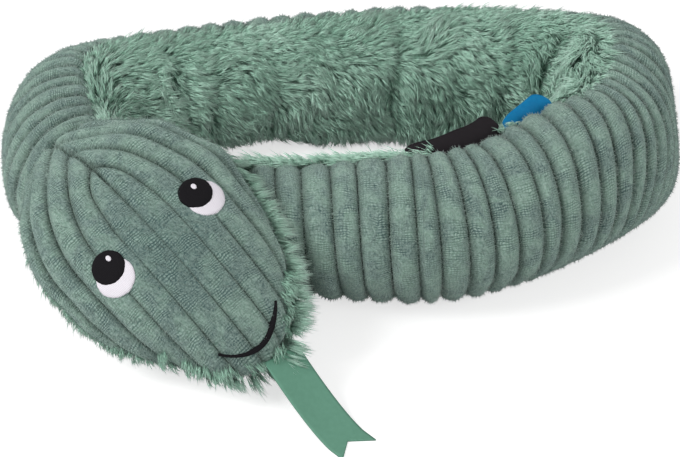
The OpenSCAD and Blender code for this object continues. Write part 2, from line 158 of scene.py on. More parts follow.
world = bpy.data.worlds.new("studio")
world.use_nodes = True
tree = world.node_tree
tree.nodes.clear()
around = put(tree, "Background", Color=white, Strength=room_light)
behind = put(tree, "Background", Color=white, Strength=1.0)
mixed = put(tree, "MixShader", _0=seen_plainly(tree), _1=around.outputs[0], _2=behind.outputs[0])
put(tree, "OutputWorld", Surface=mixed.outputs[0])
bpy.context.scene.world = world
bpy.context.scene.view_settings.view_transform = "Standard"


# The ribbed back of the body.
# One long strip of wide-ribbed pile cloth, whose ribs run round the body. It is
# sewn to the fur along the top and along the bottom, and the stuffing rounds it.
# Here the route: lengths in millimetres, angles in degrees, each arc a length and
# a turn, each place x, y and heading.
front_start = (-16.1, -17.8, -3.5)
neck_end = (-93.4, 2.5, 308.0)
tail_length, tail_end_radius = 28.0, 5.0
front_arcs = [(38.0, 0.0), (50.0, 37.5), (28.0, 13.0), (46.5, 52.0), (40.5, 61.0)]
front_radii = [24.7, 27.7, 28.5, 28.5, 27.54, 25.3]
front_seams = [119.0, 119.0, 129.0, 129.0, 94.0, 66.0]
rear_arcs = [(39.5, 72.0), (40.0, 37.5)]
rear_radii = [25.3, 25.5, 25.5]
rear_seams = [66.0, 117.0, 117.0]
back_ease = 0.31
tail_places, back_places, route_places = 120, 700, 1921
route_ease = 9
flat = math.cos(math.radians(11.0))
mm = 0.001


def arc(start, length, turn, count):
    """Places along an arc. The heading grows evenly, and x and y are the sums of its cosine and sine."""
    t = np.linspace(0, 1, count)
    heading = np.radians(start[2] + turn * t)
    step = length / (count - 1)
    middle = (heading[1:] + heading[:-1]) / 2
    x = start[0] + np.concatenate([[0], np.cumsum(np.cos(middle)) * step])
    y = start[1] + np.concatenate([[0], np.cumsum(np.sin(middle)) * step])
    return np.stack([x, y, np.degrees(heading)], 1)


def chain(start, arcs, radii, seams):
    """Arcs laid end to end, with the radius and the angle of the top seam running evenly along each."""
    rows = []
    for (length, turn), r0, r1, a0, a1 in zip(arcs, radii, radii[1:], seams, seams[1:]):
        count = int(length * 4)
        places = arc(start, length, turn, count)
        rows.append(np.column_stack([places, np.linspace(r0, r1, count), np.linspace(a0, a1, count)]))
        start = places[-1]
    return np.concatenate(rows)


def turned(places):
    """The same row of places walked the other way."""
    back = places[::-1].copy()
    back[:, 2] -= 180
    return back


def back_curve(start, end):
    """The back stretch: a cubic curve that leaves and meets its neighbours along their own headings."""
    span = math.dist(start[:2], end[:2]) * back_ease
    h0, h1 = math.radians(start[2]), math.radians(end[2])
    c = np.array([start[:2], start[:2] + span * np.array([math.cos(h0), math.sin(h0)]),
                  end[:2] - span * np.array([math.cos(h1), math.sin(h1)]), end[:2]])
    t = np.linspace(0, 1, back_places)[:, None]
    curve = (1 - t) ** 3 * c[0] + 3 * t * (1 - t) ** 2 * c[1] + 3 * t * t * (1 - t) * c[2] + t ** 3 * c[3]
    slope = (1 - t) ** 2 * (c[1] - c[0]) + 2 * t * (1 - t) * (c[2] - c[1]) + t * t * (c[3] - c[2])
    heading = np.degrees(np.unwrap(np.arctan2(slope[:, 1], slope[:, 0])))
    heading += 360 * round((start[2] - heading[0]) / 360)
    return np.column_stack([curve, heading])


def make_route():
    """The whole route as columns: length so far, x, y, heading, radius and seam angle. The radius of the tail grows
    from its end as the power 0.55 of one less the ninth power of the share that is left."""
    t = np.linspace(0, 1, tail_places)
    tail = turned(arc((front_start[0], front_start[1], front_start[2] + 180), tail_length, 0, tail_places))
    tail_r = tail_end_radius + (front_radii[0] - tail_end_radius) * (1 - (1 - t) ** 9) ** 0.55
    front = chain(front_start, front_arcs, front_radii, front_seams)
    flipped = [(length, -turn) for length, turn in reversed(rear_arcs)]
    rear = chain((neck_end[0], neck_end[1], neck_end[2] + 180), flipped, rear_radii[::-1], rear_seams[::-1])
    rear = np.column_stack([turned(rear[:, :3]), rear[::-1, 3:]])
    back = back_curve(front[-1, :3], rear[0, :3])
    rows = np.concatenate([
        np.column_stack([tail, tail_r, np.full(tail_places, front_seams[0])]), front,
        np.column_stack([back, np.full(back_places, rear_radii[0]), np.full(back_places, rear_seams[0])]), rear])
    gap = np.hypot(*np.diff(rows[:, :2], axis=0).T)
    rows = rows[np.concatenate([[True], gap > 1e-6])]
    length = np.concatenate([[0], np.cumsum(np.hypot(*np.diff(rows[:, :2], axis=0).T))])
    even = np.linspace(0, length[-1], route_places)
    return np.column_stack([even] + [np.interp(even, length, column) for column in rows.T])


def softened(column, reach):
    """A column of the route with its sudden changes rounded off over a reach in millimetres."""
    n = int(reach / (route[1, 0] - route[0, 0]))
    weight = np.hanning(2 * n + 3)
    padded = np.concatenate([2 * column[0] - column[n + 1:0:-1], column, 2 * column[-1] - column[-2:-n - 3:-1]])
    return np.convolve(padded, weight / weight.sum(), "valid")


route = make_route()
x_at, y_at, heading_at, radius_at, seam_at = range(1, 6)
for column in (x_at, y_at, heading_at, radius_at, seam_at):
    route[:, column] = softened(route[:, column], route_ease)
body_length = route[-1, 0]


def along(s, column):
    """A column of the route at lengths s."""
    return np.interp(s, route[:, 0], route[:, column])


def resting(z):
    """A height over the table, with a soft stop at 0: the logarithm of one more than its exponential."""
    soft = 1.2
    return np.where(z > 6 * soft, z, soft * np.log1p(np.exp(np.minimum(z / soft, 6.0))))


def body_point(s, a, r, base=0.0):
    """A point of the body at length s, at angle a from the outside up over the top, at distance r from the
    middle line. Nothing goes below base, where the body lies on the table."""
    heading, angle = np.radians(along(s, heading_at)), np.radians(a)
    z = base + resting(along(s, radius_at) * flat + r * np.sin(angle) - base)
    return np.stack([along(s, x_at) + r * np.cos(angle) * np.sin(heading),
                     along(s, y_at) - r * np.cos(angle) * np.cos(heading), z], -1)


def body_normal(s, a):
    """The direction away from the middle line."""
    heading, angle = np.radians(along(s, heading_at)), np.radians(a)
    return np.stack([np.cos(angle) * np.sin(heading), -np.cos(angle) * np.cos(heading), np.sin(angle) + 0 * s], -1)


# How the ribs of this cloth run: one for every 10 mm of the outside, and the strip is
# twisted, so a rib leans forward on the front stretch and backward on the right side.
rib_pitch = 10.0
a_valley = 51.2
lean_places = [0, 45, 100, 130, 160, 190, 260, 330, 400, 440, 480]
leans = [-0.1, -0.1, 0.0, 0.28, 0.6, 0.55, 0.1, -0.1, -0.25, -0.25, -0.1]
level = 40.0
turning = np.gradient(np.radians(route[:, heading_at]), route[:, 0])
outside_growth = 1 + along(route[1:, 0], radius_at) * turning[1:]
rib_count_at = np.concatenate([[0], np.cumsum(outside_growth * np.diff(route[:, 0]))]) / rib_pitch
rib_count_at -= np.interp(a_valley, route[:, 0], rib_count_at)
number_table = np.arange(-20.0, 90.0, 0.02)


def level_length(s, a):
    """The length at which the rib through (s, a) crosses the level of 40 degrees."""
    return s + np.interp(s, lean_places, leans) * np.radians(level - a) * along(s, radius_at)


def uneven(n):
    """A rib number with its share of chance, so that no two ribs are quite as wide."""
    return n + 0.05 * np.sin(2.3 * n + 1) + 0.03 * np.sin(5.1 * n)


def rib_number(s, a):
    """How many ribs lie before (s, a). A whole number is a valley."""
    return uneven(np.interp(level_length(s, a), route[:, 0], rib_count_at))


def rib_length(number, a):
    """The length at which rib number passes angle a, found by repeated correction."""
    even = np.interp(number, uneven(number_table), number_table)
    target = np.interp(even, rib_count_at, route[:, 0])
    s = target + 0 * a
    for _ in range(25):
        s = s + 0.7 * (target - level_length(s, a))
    return s


def rib_shape(number):
    """Height of a rib from 0 in its valley to 1 on its crest: a bow with a full, round top."""
    return np.abs(np.sin(np.pi * number)) ** 0.56


# How the stuffing swells this cloth.
bottom_angle = -101.0
rib_rise = 2.8
seam_dip, bottom_dip, dip_reach = 3.2, 1.5, 3.0
cloth_base = 0.3


def lumps(x, y, seed):
    """Slow random swelling between -1 and 1, the sum of six waves in random directions."""
    chance = np.random.default_rng(seed)
    total = 0
    for _ in range(6):
        turn, phase, wave = chance.uniform(0, 2 * np.pi), chance.uniform(0, 2 * np.pi), chance.uniform(0.6, 1.7)
        total = total + np.sin(wave * (x * np.cos(turn) + y * np.sin(turn)) + phase)
    return total / 6


def bell(x, middle, reach):
    """1 at the middle, and away to nothing beyond a reach on either side."""
    return np.exp(-((x - middle) / reach) ** 2)


def ramp(x, low, high):
    """0 below low, 1 above high, and an eased rise between them."""
    t = np.clip((x - low) / (high - low), 0, 1)
    return t * t * (3 - 2 * t)


def plateau(x, low, full, ease, high):
    """0 below low and above high, 1 from full to ease, with an eased rise and fall."""
    return ramp(x, low, full) * (1 - ramp(x, ease, high))


def unit(vectors):
    """Each vector at length one."""
    return vectors / np.maximum(np.linalg.norm(vectors, axis=-1, keepdims=True), 1e-9)


def facing(vectors, way):
    """The same vectors, each turned round where it points against way."""
    return vectors * np.where((vectors * way).sum(-1, keepdims=True) > 0, 1, -1)


def bulge(s, a):
    """Where the stuffing fills the cover out more, or less, than a round section: fuller over the two far corners,
    along the top of the right front and low on the right, and flatter along the top of the back, under the front
    and where the right is widest."""
    outside, top = plateau(a, -20, 30, 85, 150), plateau(a, 30, 80, 170, 215)
    corner = 5.2 * bell(s, 205, 26) + 1.3 * bell(s, 245, 24) + 1.4 * bell(s, 204, 15) * bell(a, 48, 25)
    back = 1.2 * plateau(s, 262, 285, 372, 392) * ramp(a, 55, 85)
    left = 2.4 * bell(s, body_length - 57, 12)
    neck = 2.6 * bell(s, body_length - 15, 10) * bell(a, -12, 32)
    front_top = 2.8 * bell(s, 132, 26) * top
    flatter = 2.8 * bell(s, 124, 36) * ramp(-a, 8, 38) + 1.8 * bell(s, 345, 34) * top
    right = 2.4 * bell(s, 165, 12) * bell(a, -36, 24) - 4.7 * bell(s, 185, 17) * bell(a, 12, 27)
    return (corner - back + left) * outside + neck + front_top - flatter + right


def cloth_radius(s, a):
    """Distance of the ribbed cloth from the middle line. It dips at both seams and swells a little by chance."""
    r = along(s, radius_at)
    number = rib_number(s, a)
    tall = rib_rise * (1 + 0.12 * np.sin(3.7 * np.floor(number) + 1.2)) * (1 + 0.3 * np.clip((-25 - a) / 30, 0, 1))
    to_top, to_bottom = np.radians(along(s, seam_at) - a) * r, np.radians(a - bottom_angle) * r
    dip = seam_dip * bell(np.maximum(to_top, 0), 0, dip_reach)
    dip = dip + bottom_dip * bell(np.maximum(to_bottom, 0), 0, dip_reach)
    across = np.radians(a) * r
    swell = 0.55 * lumps(s / 9, across / 9, 3) + 0.25 * lumps(s / 3, across / 3, 4)
    return r + 0.4 + bulge(s, a) - tall * (1 - rib_shape(number)) + swell - dip


def cloth_point(s, a):
    """A point of the ribbed cloth, on its outer face."""
    return body_point(s, a, cloth_radius(s, a), cloth_base)


def cloth_normal(s, a):
    """The normal of the ribbed cloth, from how its points change along s and along a."""
    step = 0.25
    return unit(np.cross(cloth_point(s + step, a) - cloth_point(s - step, a),
                         cloth_point(s, a + step) - cloth_point(s, a - step)))


# How a sheet becomes a closed mesh, and the bends of the body.
def fill_mesh(name, points, triangles, material, uv=None, values=None, uv_name="cloth"):
    """An object of one material, whose mesh has these points in millimetres, these triangles, and one uv pair and
    named values for each point."""
    mesh = bpy.data.meshes.new(name)
    mesh.vertices.add(len(points))
    mesh.vertices.foreach_set("co", (np.asarray(points) * mm).astype(np.float32).ravel())
    mesh.loops.add(triangles.size)
    mesh.loops.foreach_set("vertex_index", triangles.astype(np.int32).ravel())
    mesh.polygons.add(len(triangles))
    mesh.polygons.foreach_set("loop_start", np.arange(0, triangles.size, 3, dtype=np.int32))
    mesh.polygons.foreach_set("use_smooth", np.full(len(triangles), True))
    mesh.update(calc_edges=True)
    if uv is not None:
        layer = mesh.uv_layers.new(name=uv_name)
        layer.data.foreach_set("uv", np.asarray(uv)[triangles.ravel()].astype(np.float32).ravel())
    for key, value in (values or {}).items():
        mesh.attributes.new(key, "FLOAT", "POINT").data.foreach_set("value", np.asarray(value).astype(np.float32))
    mesh.materials.append(material)
    made = bpy.data.objects.new(name, mesh)
    bpy.context.scene.collection.objects.link(made)
    return made


def grid_triangles(rows, columns):
    """Two triangles for each cell of a grid of rows by columns."""
    i, j = np.meshgrid(np.arange(rows - 1), np.arange(columns - 1), indexing="ij")
    k = (i * columns + j).ravel()
    return np.concatenate([np.stack([k, k + columns, k + 1], 1), np.stack([k + 1, k + columns, k + columns + 1], 1)])


merge_steps = 2000


def merged(points, triangles, *others):
    """Points that are the same once rounded, with merge_steps to a millimetre, become one. Triangles that lose a
    corner by it go, and so do doubles."""
    key = np.round(points * merge_steps).astype(np.int64)
    _, first, index = np.unique(key, axis=0, return_index=True, return_inverse=True)
    triangles = index.ravel()[triangles]
    corners = np.sort(triangles, 1)
    _, once = np.unique(corners, axis=0, return_index=True)
    once = np.sort(once)
    whole = once[(np.diff(corners[once], axis=1) > 0).all(1)]
    return [points[first], triangles[whole]] + [other[first] for other in others]


def thickened(points, triangles, normals, depth, *others):
    """A sheet made a closed solid: the same sheet again, depth further in, and a strip along each open edge."""
    n = len(points)
    edges = np.concatenate([triangles[:, [0, 1]], triangles[:, [1, 2]], triangles[:, [2, 0]]])
    key = edges.min(1) * n + edges.max(1)
    _, where, count = np.unique(key, return_index=True, return_counts=True)
    rim = edges[where[count == 1]]
    inner = triangles[:, ::-1] + n
    strip = np.concatenate([np.stack([rim[:, 1], rim[:, 0], rim[:, 0] + n], 1),
                            np.stack([rim[:, 1], rim[:, 0] + n, rim[:, 1] + n], 1)])
    return [np.concatenate([points, points - normals * depth]), np.concatenate([triangles, inner, strip])] + [
        np.concatenate([other, other]) for other in others]


# Each bend has its place along the body, its reach either way, and the two bodies that meet there.
bends = {"tail": (28.0, 12.0, "tail", "front"), "front": (116.0, 22.0, "front", "right"),
         "right": (190.5, 20.0, "right", "corner"), "corner": (231.0, 16.0, "corner", "back"),
         "left": (body_length - 79.5, 19.0, "back", "left"), "neck": (body_length - 40.0, 17.0, "left", "neck")}


def blend_between(piece, first, second, start, end):
    """Bakes the piece's place into its mesh, and nothing more: the piece follows no body. First, second, start and
    end, both places in millimetres, are not used.
    """
    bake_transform(piece)


def bend_at(piece, joint):
    """Finds the two places a joint's reach away on either side of it and hands them, with the two bodies that meet
    there, to blend_between, which only bakes the piece's place.
    """
    place, reach, first, second = bends[joint]
    ends = body_point(place + reach * np.array([-1, 1]), np.array([90.0, 90.0]), 0.0)
    blend_between(piece, first, second, *ends)


def stand_for(piece, slot, *nodes, fill=None):
    """Hides the CAD parts of the nodes that a piece stands for. The piece, the slot of its finish and fill, how full
    a padded piece is, are not used.
    """
    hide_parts(*nodes)


cloth_depth = 0.7
cloth_rows = 86
under_fur = 2.4
rib_steps = np.array([0.0, 0.035, 0.09, 0.17, 0.28, 0.39, 0.5, 0.61, 0.72, 0.83, 0.91, 0.965])
cuts = [0.0, 72.0, 150.0, 211.0, 316.0, body_length - 60.0, body_length - 14.0]


def cloth_piece(name, low, high):
    """The stretch of ribbed cloth between two lengths, and its outer sheet alone. Its columns follow the ribs, so
    that each valley stays sharp, and they stop at the ends of the stretch. Its edges are tucked in under the fur."""
    corners = rib_number(np.array([low, low, high, high]), np.array([-100.0, 125.0, -100.0, 125.0]))
    first, last = math.floor(corners.min()) - 1, math.ceil(corners.max()) + 1
    numbers = (np.arange(first, last)[:, None] + rib_steps).ravel()
    number, share = np.meshgrid(numbers, np.linspace(0, 1, cloth_rows), indexing="ij")
    s = np.clip(rib_length(number, level + 0 * share), low, high)
    for _ in range(3):
        a = bottom_angle + (along(s, seam_at) + under_fur - bottom_angle) * share
        s = np.clip(rib_length(number, a), low, high)
    a = bottom_angle + (along(s, seam_at) + under_fur - bottom_angle) * share
    uv = np.stack([number * rib_pitch, np.radians(a) * along(s, radius_at)], -1) / 100
    # The crest of each point, 1 on a rib's top and 0 in its valley, sets how much painted valley shade its colour
    # gets.
    points, triangles, s, a, uv, crest, normals = merged(
        cloth_point(s, a).reshape(-1, 3), grid_triangles(*s.shape), s.ravel(), a.ravel(), uv.reshape(-1, 2),
        rib_shape(rib_number(s, a)).ravel(), cloth_normal(s, a).reshape(-1, 3))
    at_cut = (np.abs(s - low) < 1e-6) | (np.abs(s - high) < 1e-6)
    own = np.where(at_cut[:, None], normals, 0)
    outer = (points, triangles, normals)
    points, triangles, uv, crest = thickened(points, triangles, body_normal(s, a), cloth_depth, uv, crest)
    cloth = fill_mesh(name, points, triangles, ribbed, uv, {"crest": crest})
    cloth.data.normals_split_custom_set_from_vertices(np.concatenate([own, np.zeros_like(own)]).tolist())
    return cloth, outer


# The finish of the ribbed cloth: short pile, knitted in small loops.
def rescaled(tree, value, low, high, to_low=0.0, to_high=1.0):
    """A value carried evenly from one range to another, and held at both ends."""
    return put(tree, "MapRange", Value=value, From_Min=low, From_Max=high, To_Min=to_low, To_Max=to_high).outputs[0]


def cloth_place(tree):
    """A place on the cloth in millimetres. The uv map counts it in steps of 100 mm."""
    uv = put(tree, "UVMap", {"uv_map": "cloth"})
    return maths(tree, "MULTIPLY", uv.outputs[0], (100.0, 100.0, 1.0), kind="VectorMath")


def mixed_colour(tree, share, first, second):
    """A mix of two colours, each a colour or an output, by a share from 0 to 1."""
    return put(tree, "Mix", {"data_type": "RGBA"}, _0=share, _6=first, _7=second).outputs[2]


def rgb(red, green, blue):
    """A colour given as it looks on screen, from 0 to 255, as the light values that a shader takes."""
    part = np.array([red, green, blue]) / 255
    return (*np.where(part <= 0.04045, part / 12.92, ((part + 0.055) / 1.055) ** 2.4), 1.0)


def finished(material, tree, **sockets):
    """The material, with a shader that has these inputs as its surface."""
    shader = put(tree, "BsdfPrincipled", **sockets)
    put(tree, "OutputMaterial", Surface=shader.outputs[0])
    return material


def pile_knit_group():
    """The face of short-pile knitted cloth. Place is in millimetres on the cloth. Loops is the small grid of loops,
    Fuzz the pile brushed along the ribs, Patch where a hand has pushed the pile the other way, and Parted where it
    has opened so that the rows of loops show. All run from 0 to 1."""
    group = bpy.data.node_groups.new("pile_knit", "ShaderNodeTree")
    group.interface.new_socket(name="Place", in_out="INPUT", socket_type="NodeSocketVector")
    for name in ("Loops", "Fuzz", "Patch", "Parted"):
        group.interface.new_socket(name=name, in_out="OUTPUT", socket_type="NodeSocketFloat")
    place = group.nodes.new("NodeGroupInput").outputs["Place"]
    outs = group.nodes.new("NodeGroupOutput")
    shifted = place
    for scale, far in ((0.2, 2.6), (0.9, 0.7)):
        wander = put(group, "TexNoise", Vector=place, Scale=scale, Detail=2.0)
        shifted = maths(group, "MULTIPLY_ADD", wander.outputs["Color"], (far, far, 0), shifted, kind="VectorMath")
    parts = put(group, "SeparateXYZ", _0=shifted)
    waves = []
    for axis, pitch, least in ((0, 1.1, 0.35), (1, 0.92, 0.0)):
        wave = maths(group, "SINE", maths(group, "MULTIPLY", parts.outputs[axis], 2 * math.pi / pitch))
        waves.append(rescaled(group, wave, -1.0, 0.6, to_low=least))
    group.links.new(maths(group, "MULTIPLY", *waves), outs.inputs["Loops"])
    brushed = maths(group, "MULTIPLY", shifted, (1.0, 0.55, 1.0), kind="VectorMath")
    for name, at, scale, detail, rough, distortion, low, high in (
            ("Fuzz", brushed, 1.3, 5.0, 0.72, 0.0, 0.32, 0.68), ("Patch", place, 0.1, 4.0, 0.6, 0.7, 0.4, 0.6),
            ("Parted", place, 0.17, 2.0, 0.5, 0.4, 0.44, 0.62)):
        noise = put(group, "TexNoise", Vector=at, Scale=scale, Detail=detail, Roughness=rough, Distortion=distortion)
        group.links.new(rescaled(group, noise.outputs["Fac"], low, high), outs.inputs[name])
    return group


pile_knit = pile_knit_group()


def ribbed_material(name, valley_shade, row_gap_shade, dull, fresh, bright):
    """Ribbed pile cloth: painted shade in the valleys, bluish and dull where the pile is brushed back, with more
    painted shade between the eyes, paler and greener elsewhere, with the bright tips of the pile and, where it has
    parted, painted shade in the gaps between the rows of loops."""
    material, tree = new_material(name)
    knit = put(tree, "Group", {"node_tree": pile_knit}, Place=cloth_place(tree)).outputs
    # Between the eyes the colour is pulled towards dull twice: the pile is brushed back there, and shade is painted
    # there too.
    stroked_and_shaded = put(tree, "Attribute", {"attribute_name": "stroked_and_shaded"}).outputs["Fac"]
    patch = maths(tree, "MULTIPLY_ADD", stroked_and_shaded, -0.5, knit["Patch"], use_clamp=True)
    base = mixed_colour(tree, patch, dull, fresh)
    loop_share = rescaled(tree, knit["Parted"], 0.0, 1.0, 0.12, 0.7)
    weave = put(tree, "Mix", _0=loop_share, _2=knit["Fuzz"], _3=knit["Loops"]).outputs[0]
    topped = mixed_colour(tree, rescaled(tree, weave, 0.1, 0.95, 0.0, 0.7), base, bright)
    # Where the pile has parted, the gaps between the rows of loops get painted shade.
    gap = maths(tree, "MULTIPLY", rescaled(tree, knit["Loops"], 0.0, 0.5, 0.42, 0.0), knit["Parted"])
    topped = mixed_colour(tree, gap, topped, row_gap_shade)
    topped = mixed_colour(tree, maths(tree, "MULTIPLY", stroked_and_shaded, 0.3), topped, dull)
    # Where the crest is low, the colour is the valley colour: painted shade in the valleys.
    crest = put(tree, "Attribute", {"attribute_name": "crest"}).outputs["Fac"]
    colour = mixed_colour(tree, rescaled(tree, crest, 0.0, 0.85), valley_shade, topped)
    rough = maths(tree, "MULTIPLY_ADD", knit["Fuzz"], 0.6, weave)
    return finished(material, tree, Base_Color=colour, Roughness=0.9, Normal=bumped(tree, rough, 0.8, 0.0004),
                    Specular_IOR_Level=0.15, Sheen_Weight=0.5, Sheen_Roughness=0.45, Sheen_Tint=(0.75, 0.95, 0.88, 1))


ribbed = ribbed_material("ribbed_cloth", valley_shade=rgb(44, 58, 48), row_gap_shade=rgb(56, 80, 76), dull=rgb(52, 80, 79),
                         fresh=rgb(110, 140, 125), bright=rgb(178, 200, 190))


def hair_place(tree):
    """The two ways along the uv of a hair: its tone, and from root to tip."""
    uv = put(tree, "UVMap", {"uv_map": "OFBake"}).outputs[0]
    parts = put(tree, "SeparateXYZ", _0=uv).outputs
    return uv, parts[0], parts[1]


def nap_material():
    """The tips of the short pile, seen one by one, painted darker at the root as the shade among them."""
    material, tree = new_material("short_nap")
    _, tone, out = hair_place(tree)
    # The darker root colour is painted shade.
    root = mixed_colour(tree, tone, rgb(76, 100, 94), rgb(106, 132, 120))
    tip = mixed_colour(tree, tone, rgb(112, 140, 132), rgb(170, 192, 182))
    return finished(material, tree, Base_Color=mixed_colour(tree, out, root, tip), Roughness=0.8,
                    Specular_IOR_Level=0.15, Sheen_Weight=0.3)


short_nap = nap_material()
nap_length, nap_thick, nap_sunk, nap_floor = 1.25, 0.36, 0.35, 0.12
nap_per_square, nap_lowest, nap_steepest = 1.1, 1.0, -0.9


def ring_of_three(middle, half, ahead, side):
    """Three corners round a middle: one ahead of it, and two behind it on either side."""
    return [middle + half * ahead, middle - half * (0.5 * ahead - 0.87 * side),
            middle - half * (0.5 * ahead + 0.87 * side)]


def nap_piece(name, root, up, comb, tone, seed):
    """Short pile: one slim spike for each root. A spike is a triangle sunk in the cloth and a tip, leaning over
    along comb."""
    chance = np.random.default_rng(seed)
    n = len(root)
    lean = comb * chance.uniform(0.2, 1.1, (n, 1)) + 0.45 * chance.normal(size=(n, 3)) + up
    tip = root + unit(lean) * (nap_length * chance.uniform(0.6, 1.25, (n, 1)))
    side = unit(np.cross(up, comb + 0.3 * chance.normal(size=(n, 3))))
    half = 0.5 * nap_thick * chance.uniform(0.7, 1.3, (n, 1))
    points = np.stack(ring_of_three(root - nap_sunk * up, half, np.cross(side, up), side) + [tip], 1).reshape(-1, 3)
    points[:, 2] = np.maximum(points[:, 2], nap_floor)
    k = (np.arange(n) * 4)[:, None]
    triangles = np.concatenate([k + corners for corners in ([0, 1, 2], [0, 3, 1], [1, 3, 2], [2, 3, 0])])
    u = np.clip(tone + 0.12 * chance.normal(size=n), 0.04, 0.96)
    uv = np.zeros((n, 4, 2))
    uv[..., 0] = u[:, None] + np.array([-0.02, 0.02, 0, 0])
    uv[..., 1] = np.array([0.04, 0.04, 0.12, 0.96])
    return fill_mesh(name, points, triangles, short_nap, uv.reshape(-1, 2), uv_name="OFBake")


def scattered(points, triangles, normals, seed):
    """Places strewn evenly by chance over a sheet, with its normal at each: triangles are drawn by their area, and a
    place inside one by two random shares folded at the diagonal. What lies on the table, or faces it, stays bare."""
    chance = np.random.default_rng(seed)
    a, b, c = points[triangles[:, 0]], points[triangles[:, 1]], points[triangles[:, 2]]
    area = np.linalg.norm(np.cross(b - a, c - a), axis=1) / 2
    drawn = chance.choice(len(triangles), int(area.sum() * nap_per_square), p=area / area.sum())
    p, q = chance.uniform(0, 1, (2, len(drawn), 1))
    p, q = np.where(p + q > 1, 1 - p, p), np.where(p + q > 1, 1 - q, q)
    place = a[drawn] + p * (b - a)[drawn] + q * (c - a)[drawn]
    corners = normals[triangles[drawn]]
    up = unit(corners[:, 0] * (1 - p - q) + corners[:, 1] * p + corners[:, 2] * q)
    seen = (place[:, 2] > nap_lowest) & (up[:, 2] > nap_steepest)
    return place[seen], up[seen]


def downhill(up):
    """The direction along the cloth that runs most steeply down."""
    return unit(np.array([0.0, 0, -1]) + up[:, 2:] * up + 0.15 * np.array([-1.0, 0, 0]))


def nap_tone(root):
    """Tone of the pile at a place, in slow patches a few millimetres wide."""
    return 0.5 + 0.7 * lumps((root[:, 0] + root[:, 1]) / 3.4, (root[:, 2] + root[:, 1] - root[:, 0]) / 3.4, 41)


for name, joint, low, high in zip(("tail", "front", "right", "corner", "back", "left"), bends, cuts, cuts[1:]):
    cover, outer = cloth_piece(name + "_ribbed_cloth", low, high)
    root, up = scattered(*outer, seed=int(low) + 1)
    nap = nap_piece(name + "_short_nap", root, up, downhill(up), nap_tone(root), seed=int(low) + 2)
    for piece, fill in ((cover, 0.8), (nap, None)):
        bend_at(piece, joint)
        stand_for(piece, "ribbed_cloth", name + "_cover", fill=fill)


# The neck's last rings of ribbed cloth, which run up to the head's back seam.
neck_heading = math.radians(neck_end[2])
neck_forward = np.array([math.cos(neck_heading), math.sin(neck_heading), 0])
lift_start = body_point(np.array([body_length - 5.0]), np.array([90.0]), 0.0)[0]
lift_end = lift_start + 22 * neck_forward


def lift_with_head(piece):
    """Hands a piece to blend_between with the neck, the head and the two places where the head lifts; that only bakes
    the piece's place.
    """
    blend_between(piece, "neck", "head", lift_start, lift_end)


cover, outer = cloth_piece("neck_ribbed_cloth", cuts[-1], body_length)
root, up = scattered(*outer, seed=91)
nap = nap_piece("neck_short_nap", root, up, downhill(up), nap_tone(root), seed=92)
for piece, fill in ((cover, 0.8), (nap, None)):
    lift_with_head(piece)
    stand_for(piece, "ribbed_cloth", "neck_cover", fill=fill)


# The top of the head.
# One panel of the same ribbed cloth, with its ribs running to the nose. A dart
# at the back rounds it over the stuffing, and the ribs meet there in chevrons.
head_centre = np.array([-68.4, -46.5, 39.5])
head_turn, head_tilt = math.radians(48), math.radians(32)
to_nose = np.array([math.cos(head_turn), -math.sin(head_turn) * math.cos(head_tilt),
                    -math.sin(head_turn) * math.sin(head_tilt)])
to_far = np.array([math.sin(head_turn), math.cos(head_turn) * math.cos(head_tilt),
                   math.cos(head_turn) * math.sin(head_tilt)])
to_top = np.array([0, -math.sin(head_tilt), math.cos(head_tilt)])
head_back, head_front = 55.0, 62.0
head_half_width, head_top_height, head_under_height = 39.0, 21.0, 26.0
back_power, front_power, section_power = 2.4, 1.9, 2.2
shoulder = -0.5 * head_back
throat_length, throat_radius = 24.0, 25.5
fold_swell, fold_slip = 4.2, 11


def egg(u):
    """Share of the head's width and height left at u: an egg whose two ends are powers of their own."""
    reach = np.where(u < 0, head_back, head_front)
    power = np.where(u < 0, back_power, front_power)
    return np.maximum(1 - np.minimum(np.abs(u) / reach, 1) ** power, 0) ** (1 / power)


def head_section(u, a, more=0.0):
    """A point of the head's section at u, at angle a from the near edge over the top. The section is an
    ellipse a little squared off, with a flatter cheek on the near side. It can be made larger all round by more."""
    across, over = np.cos(np.radians(a)), np.sin(np.radians(a))
    cheek = (4.5 * bell(u, 42, 14) - 1.3 * bell(u, -17, 9) - 0.5 * bell(u, 9, 6)) * ramp(across, 0.3, 0.95)
    cheek = cheek - 3.6 * bell(u, -8, 10) * ramp(-across, 0.3, 0.95)
    c, s = (np.sign(part) * np.abs(part) ** (2 / section_power) for part in (across, over))
    width = np.maximum(head_half_width * egg(u) + more - cheek, 0.3)
    chin = 1 - 0.3 * bell(u, 37, 15)
    tall = np.maximum(np.where(s > 0, head_top_height, head_under_height * chin) * egg(u) + more, 0.3)
    return head_centre + u[..., None] * to_nose - (width * c)[..., None] * to_far + (tall * s)[..., None] * to_top


def throat_section(d, a, more=0.0):
    """A point of the neck's round section, carried straight on by d."""
    r, angle = throat_radius + more, np.radians(a)
    return np.stack([neck_end[0] + d * math.cos(neck_heading) + r * np.cos(angle) * math.sin(neck_heading),
                     neck_end[1] + d * math.sin(neck_heading) - r * np.cos(angle) * math.cos(neck_heading),
                     throat_radius * flat + r * np.sin(angle)], -1)


def head_u(w):
    """Distance along the head for w from -1, at the neck, through 0, at the shoulder, to 1, at the nose."""
    before = -0.94 * head_back + (w + 1) * (shoulder + 0.94 * head_back)
    after = shoulder + (head_front - shoulder) * np.sin(np.pi / 2 * np.clip(w, 0, 1))
    return np.where(w < 0, before, after)


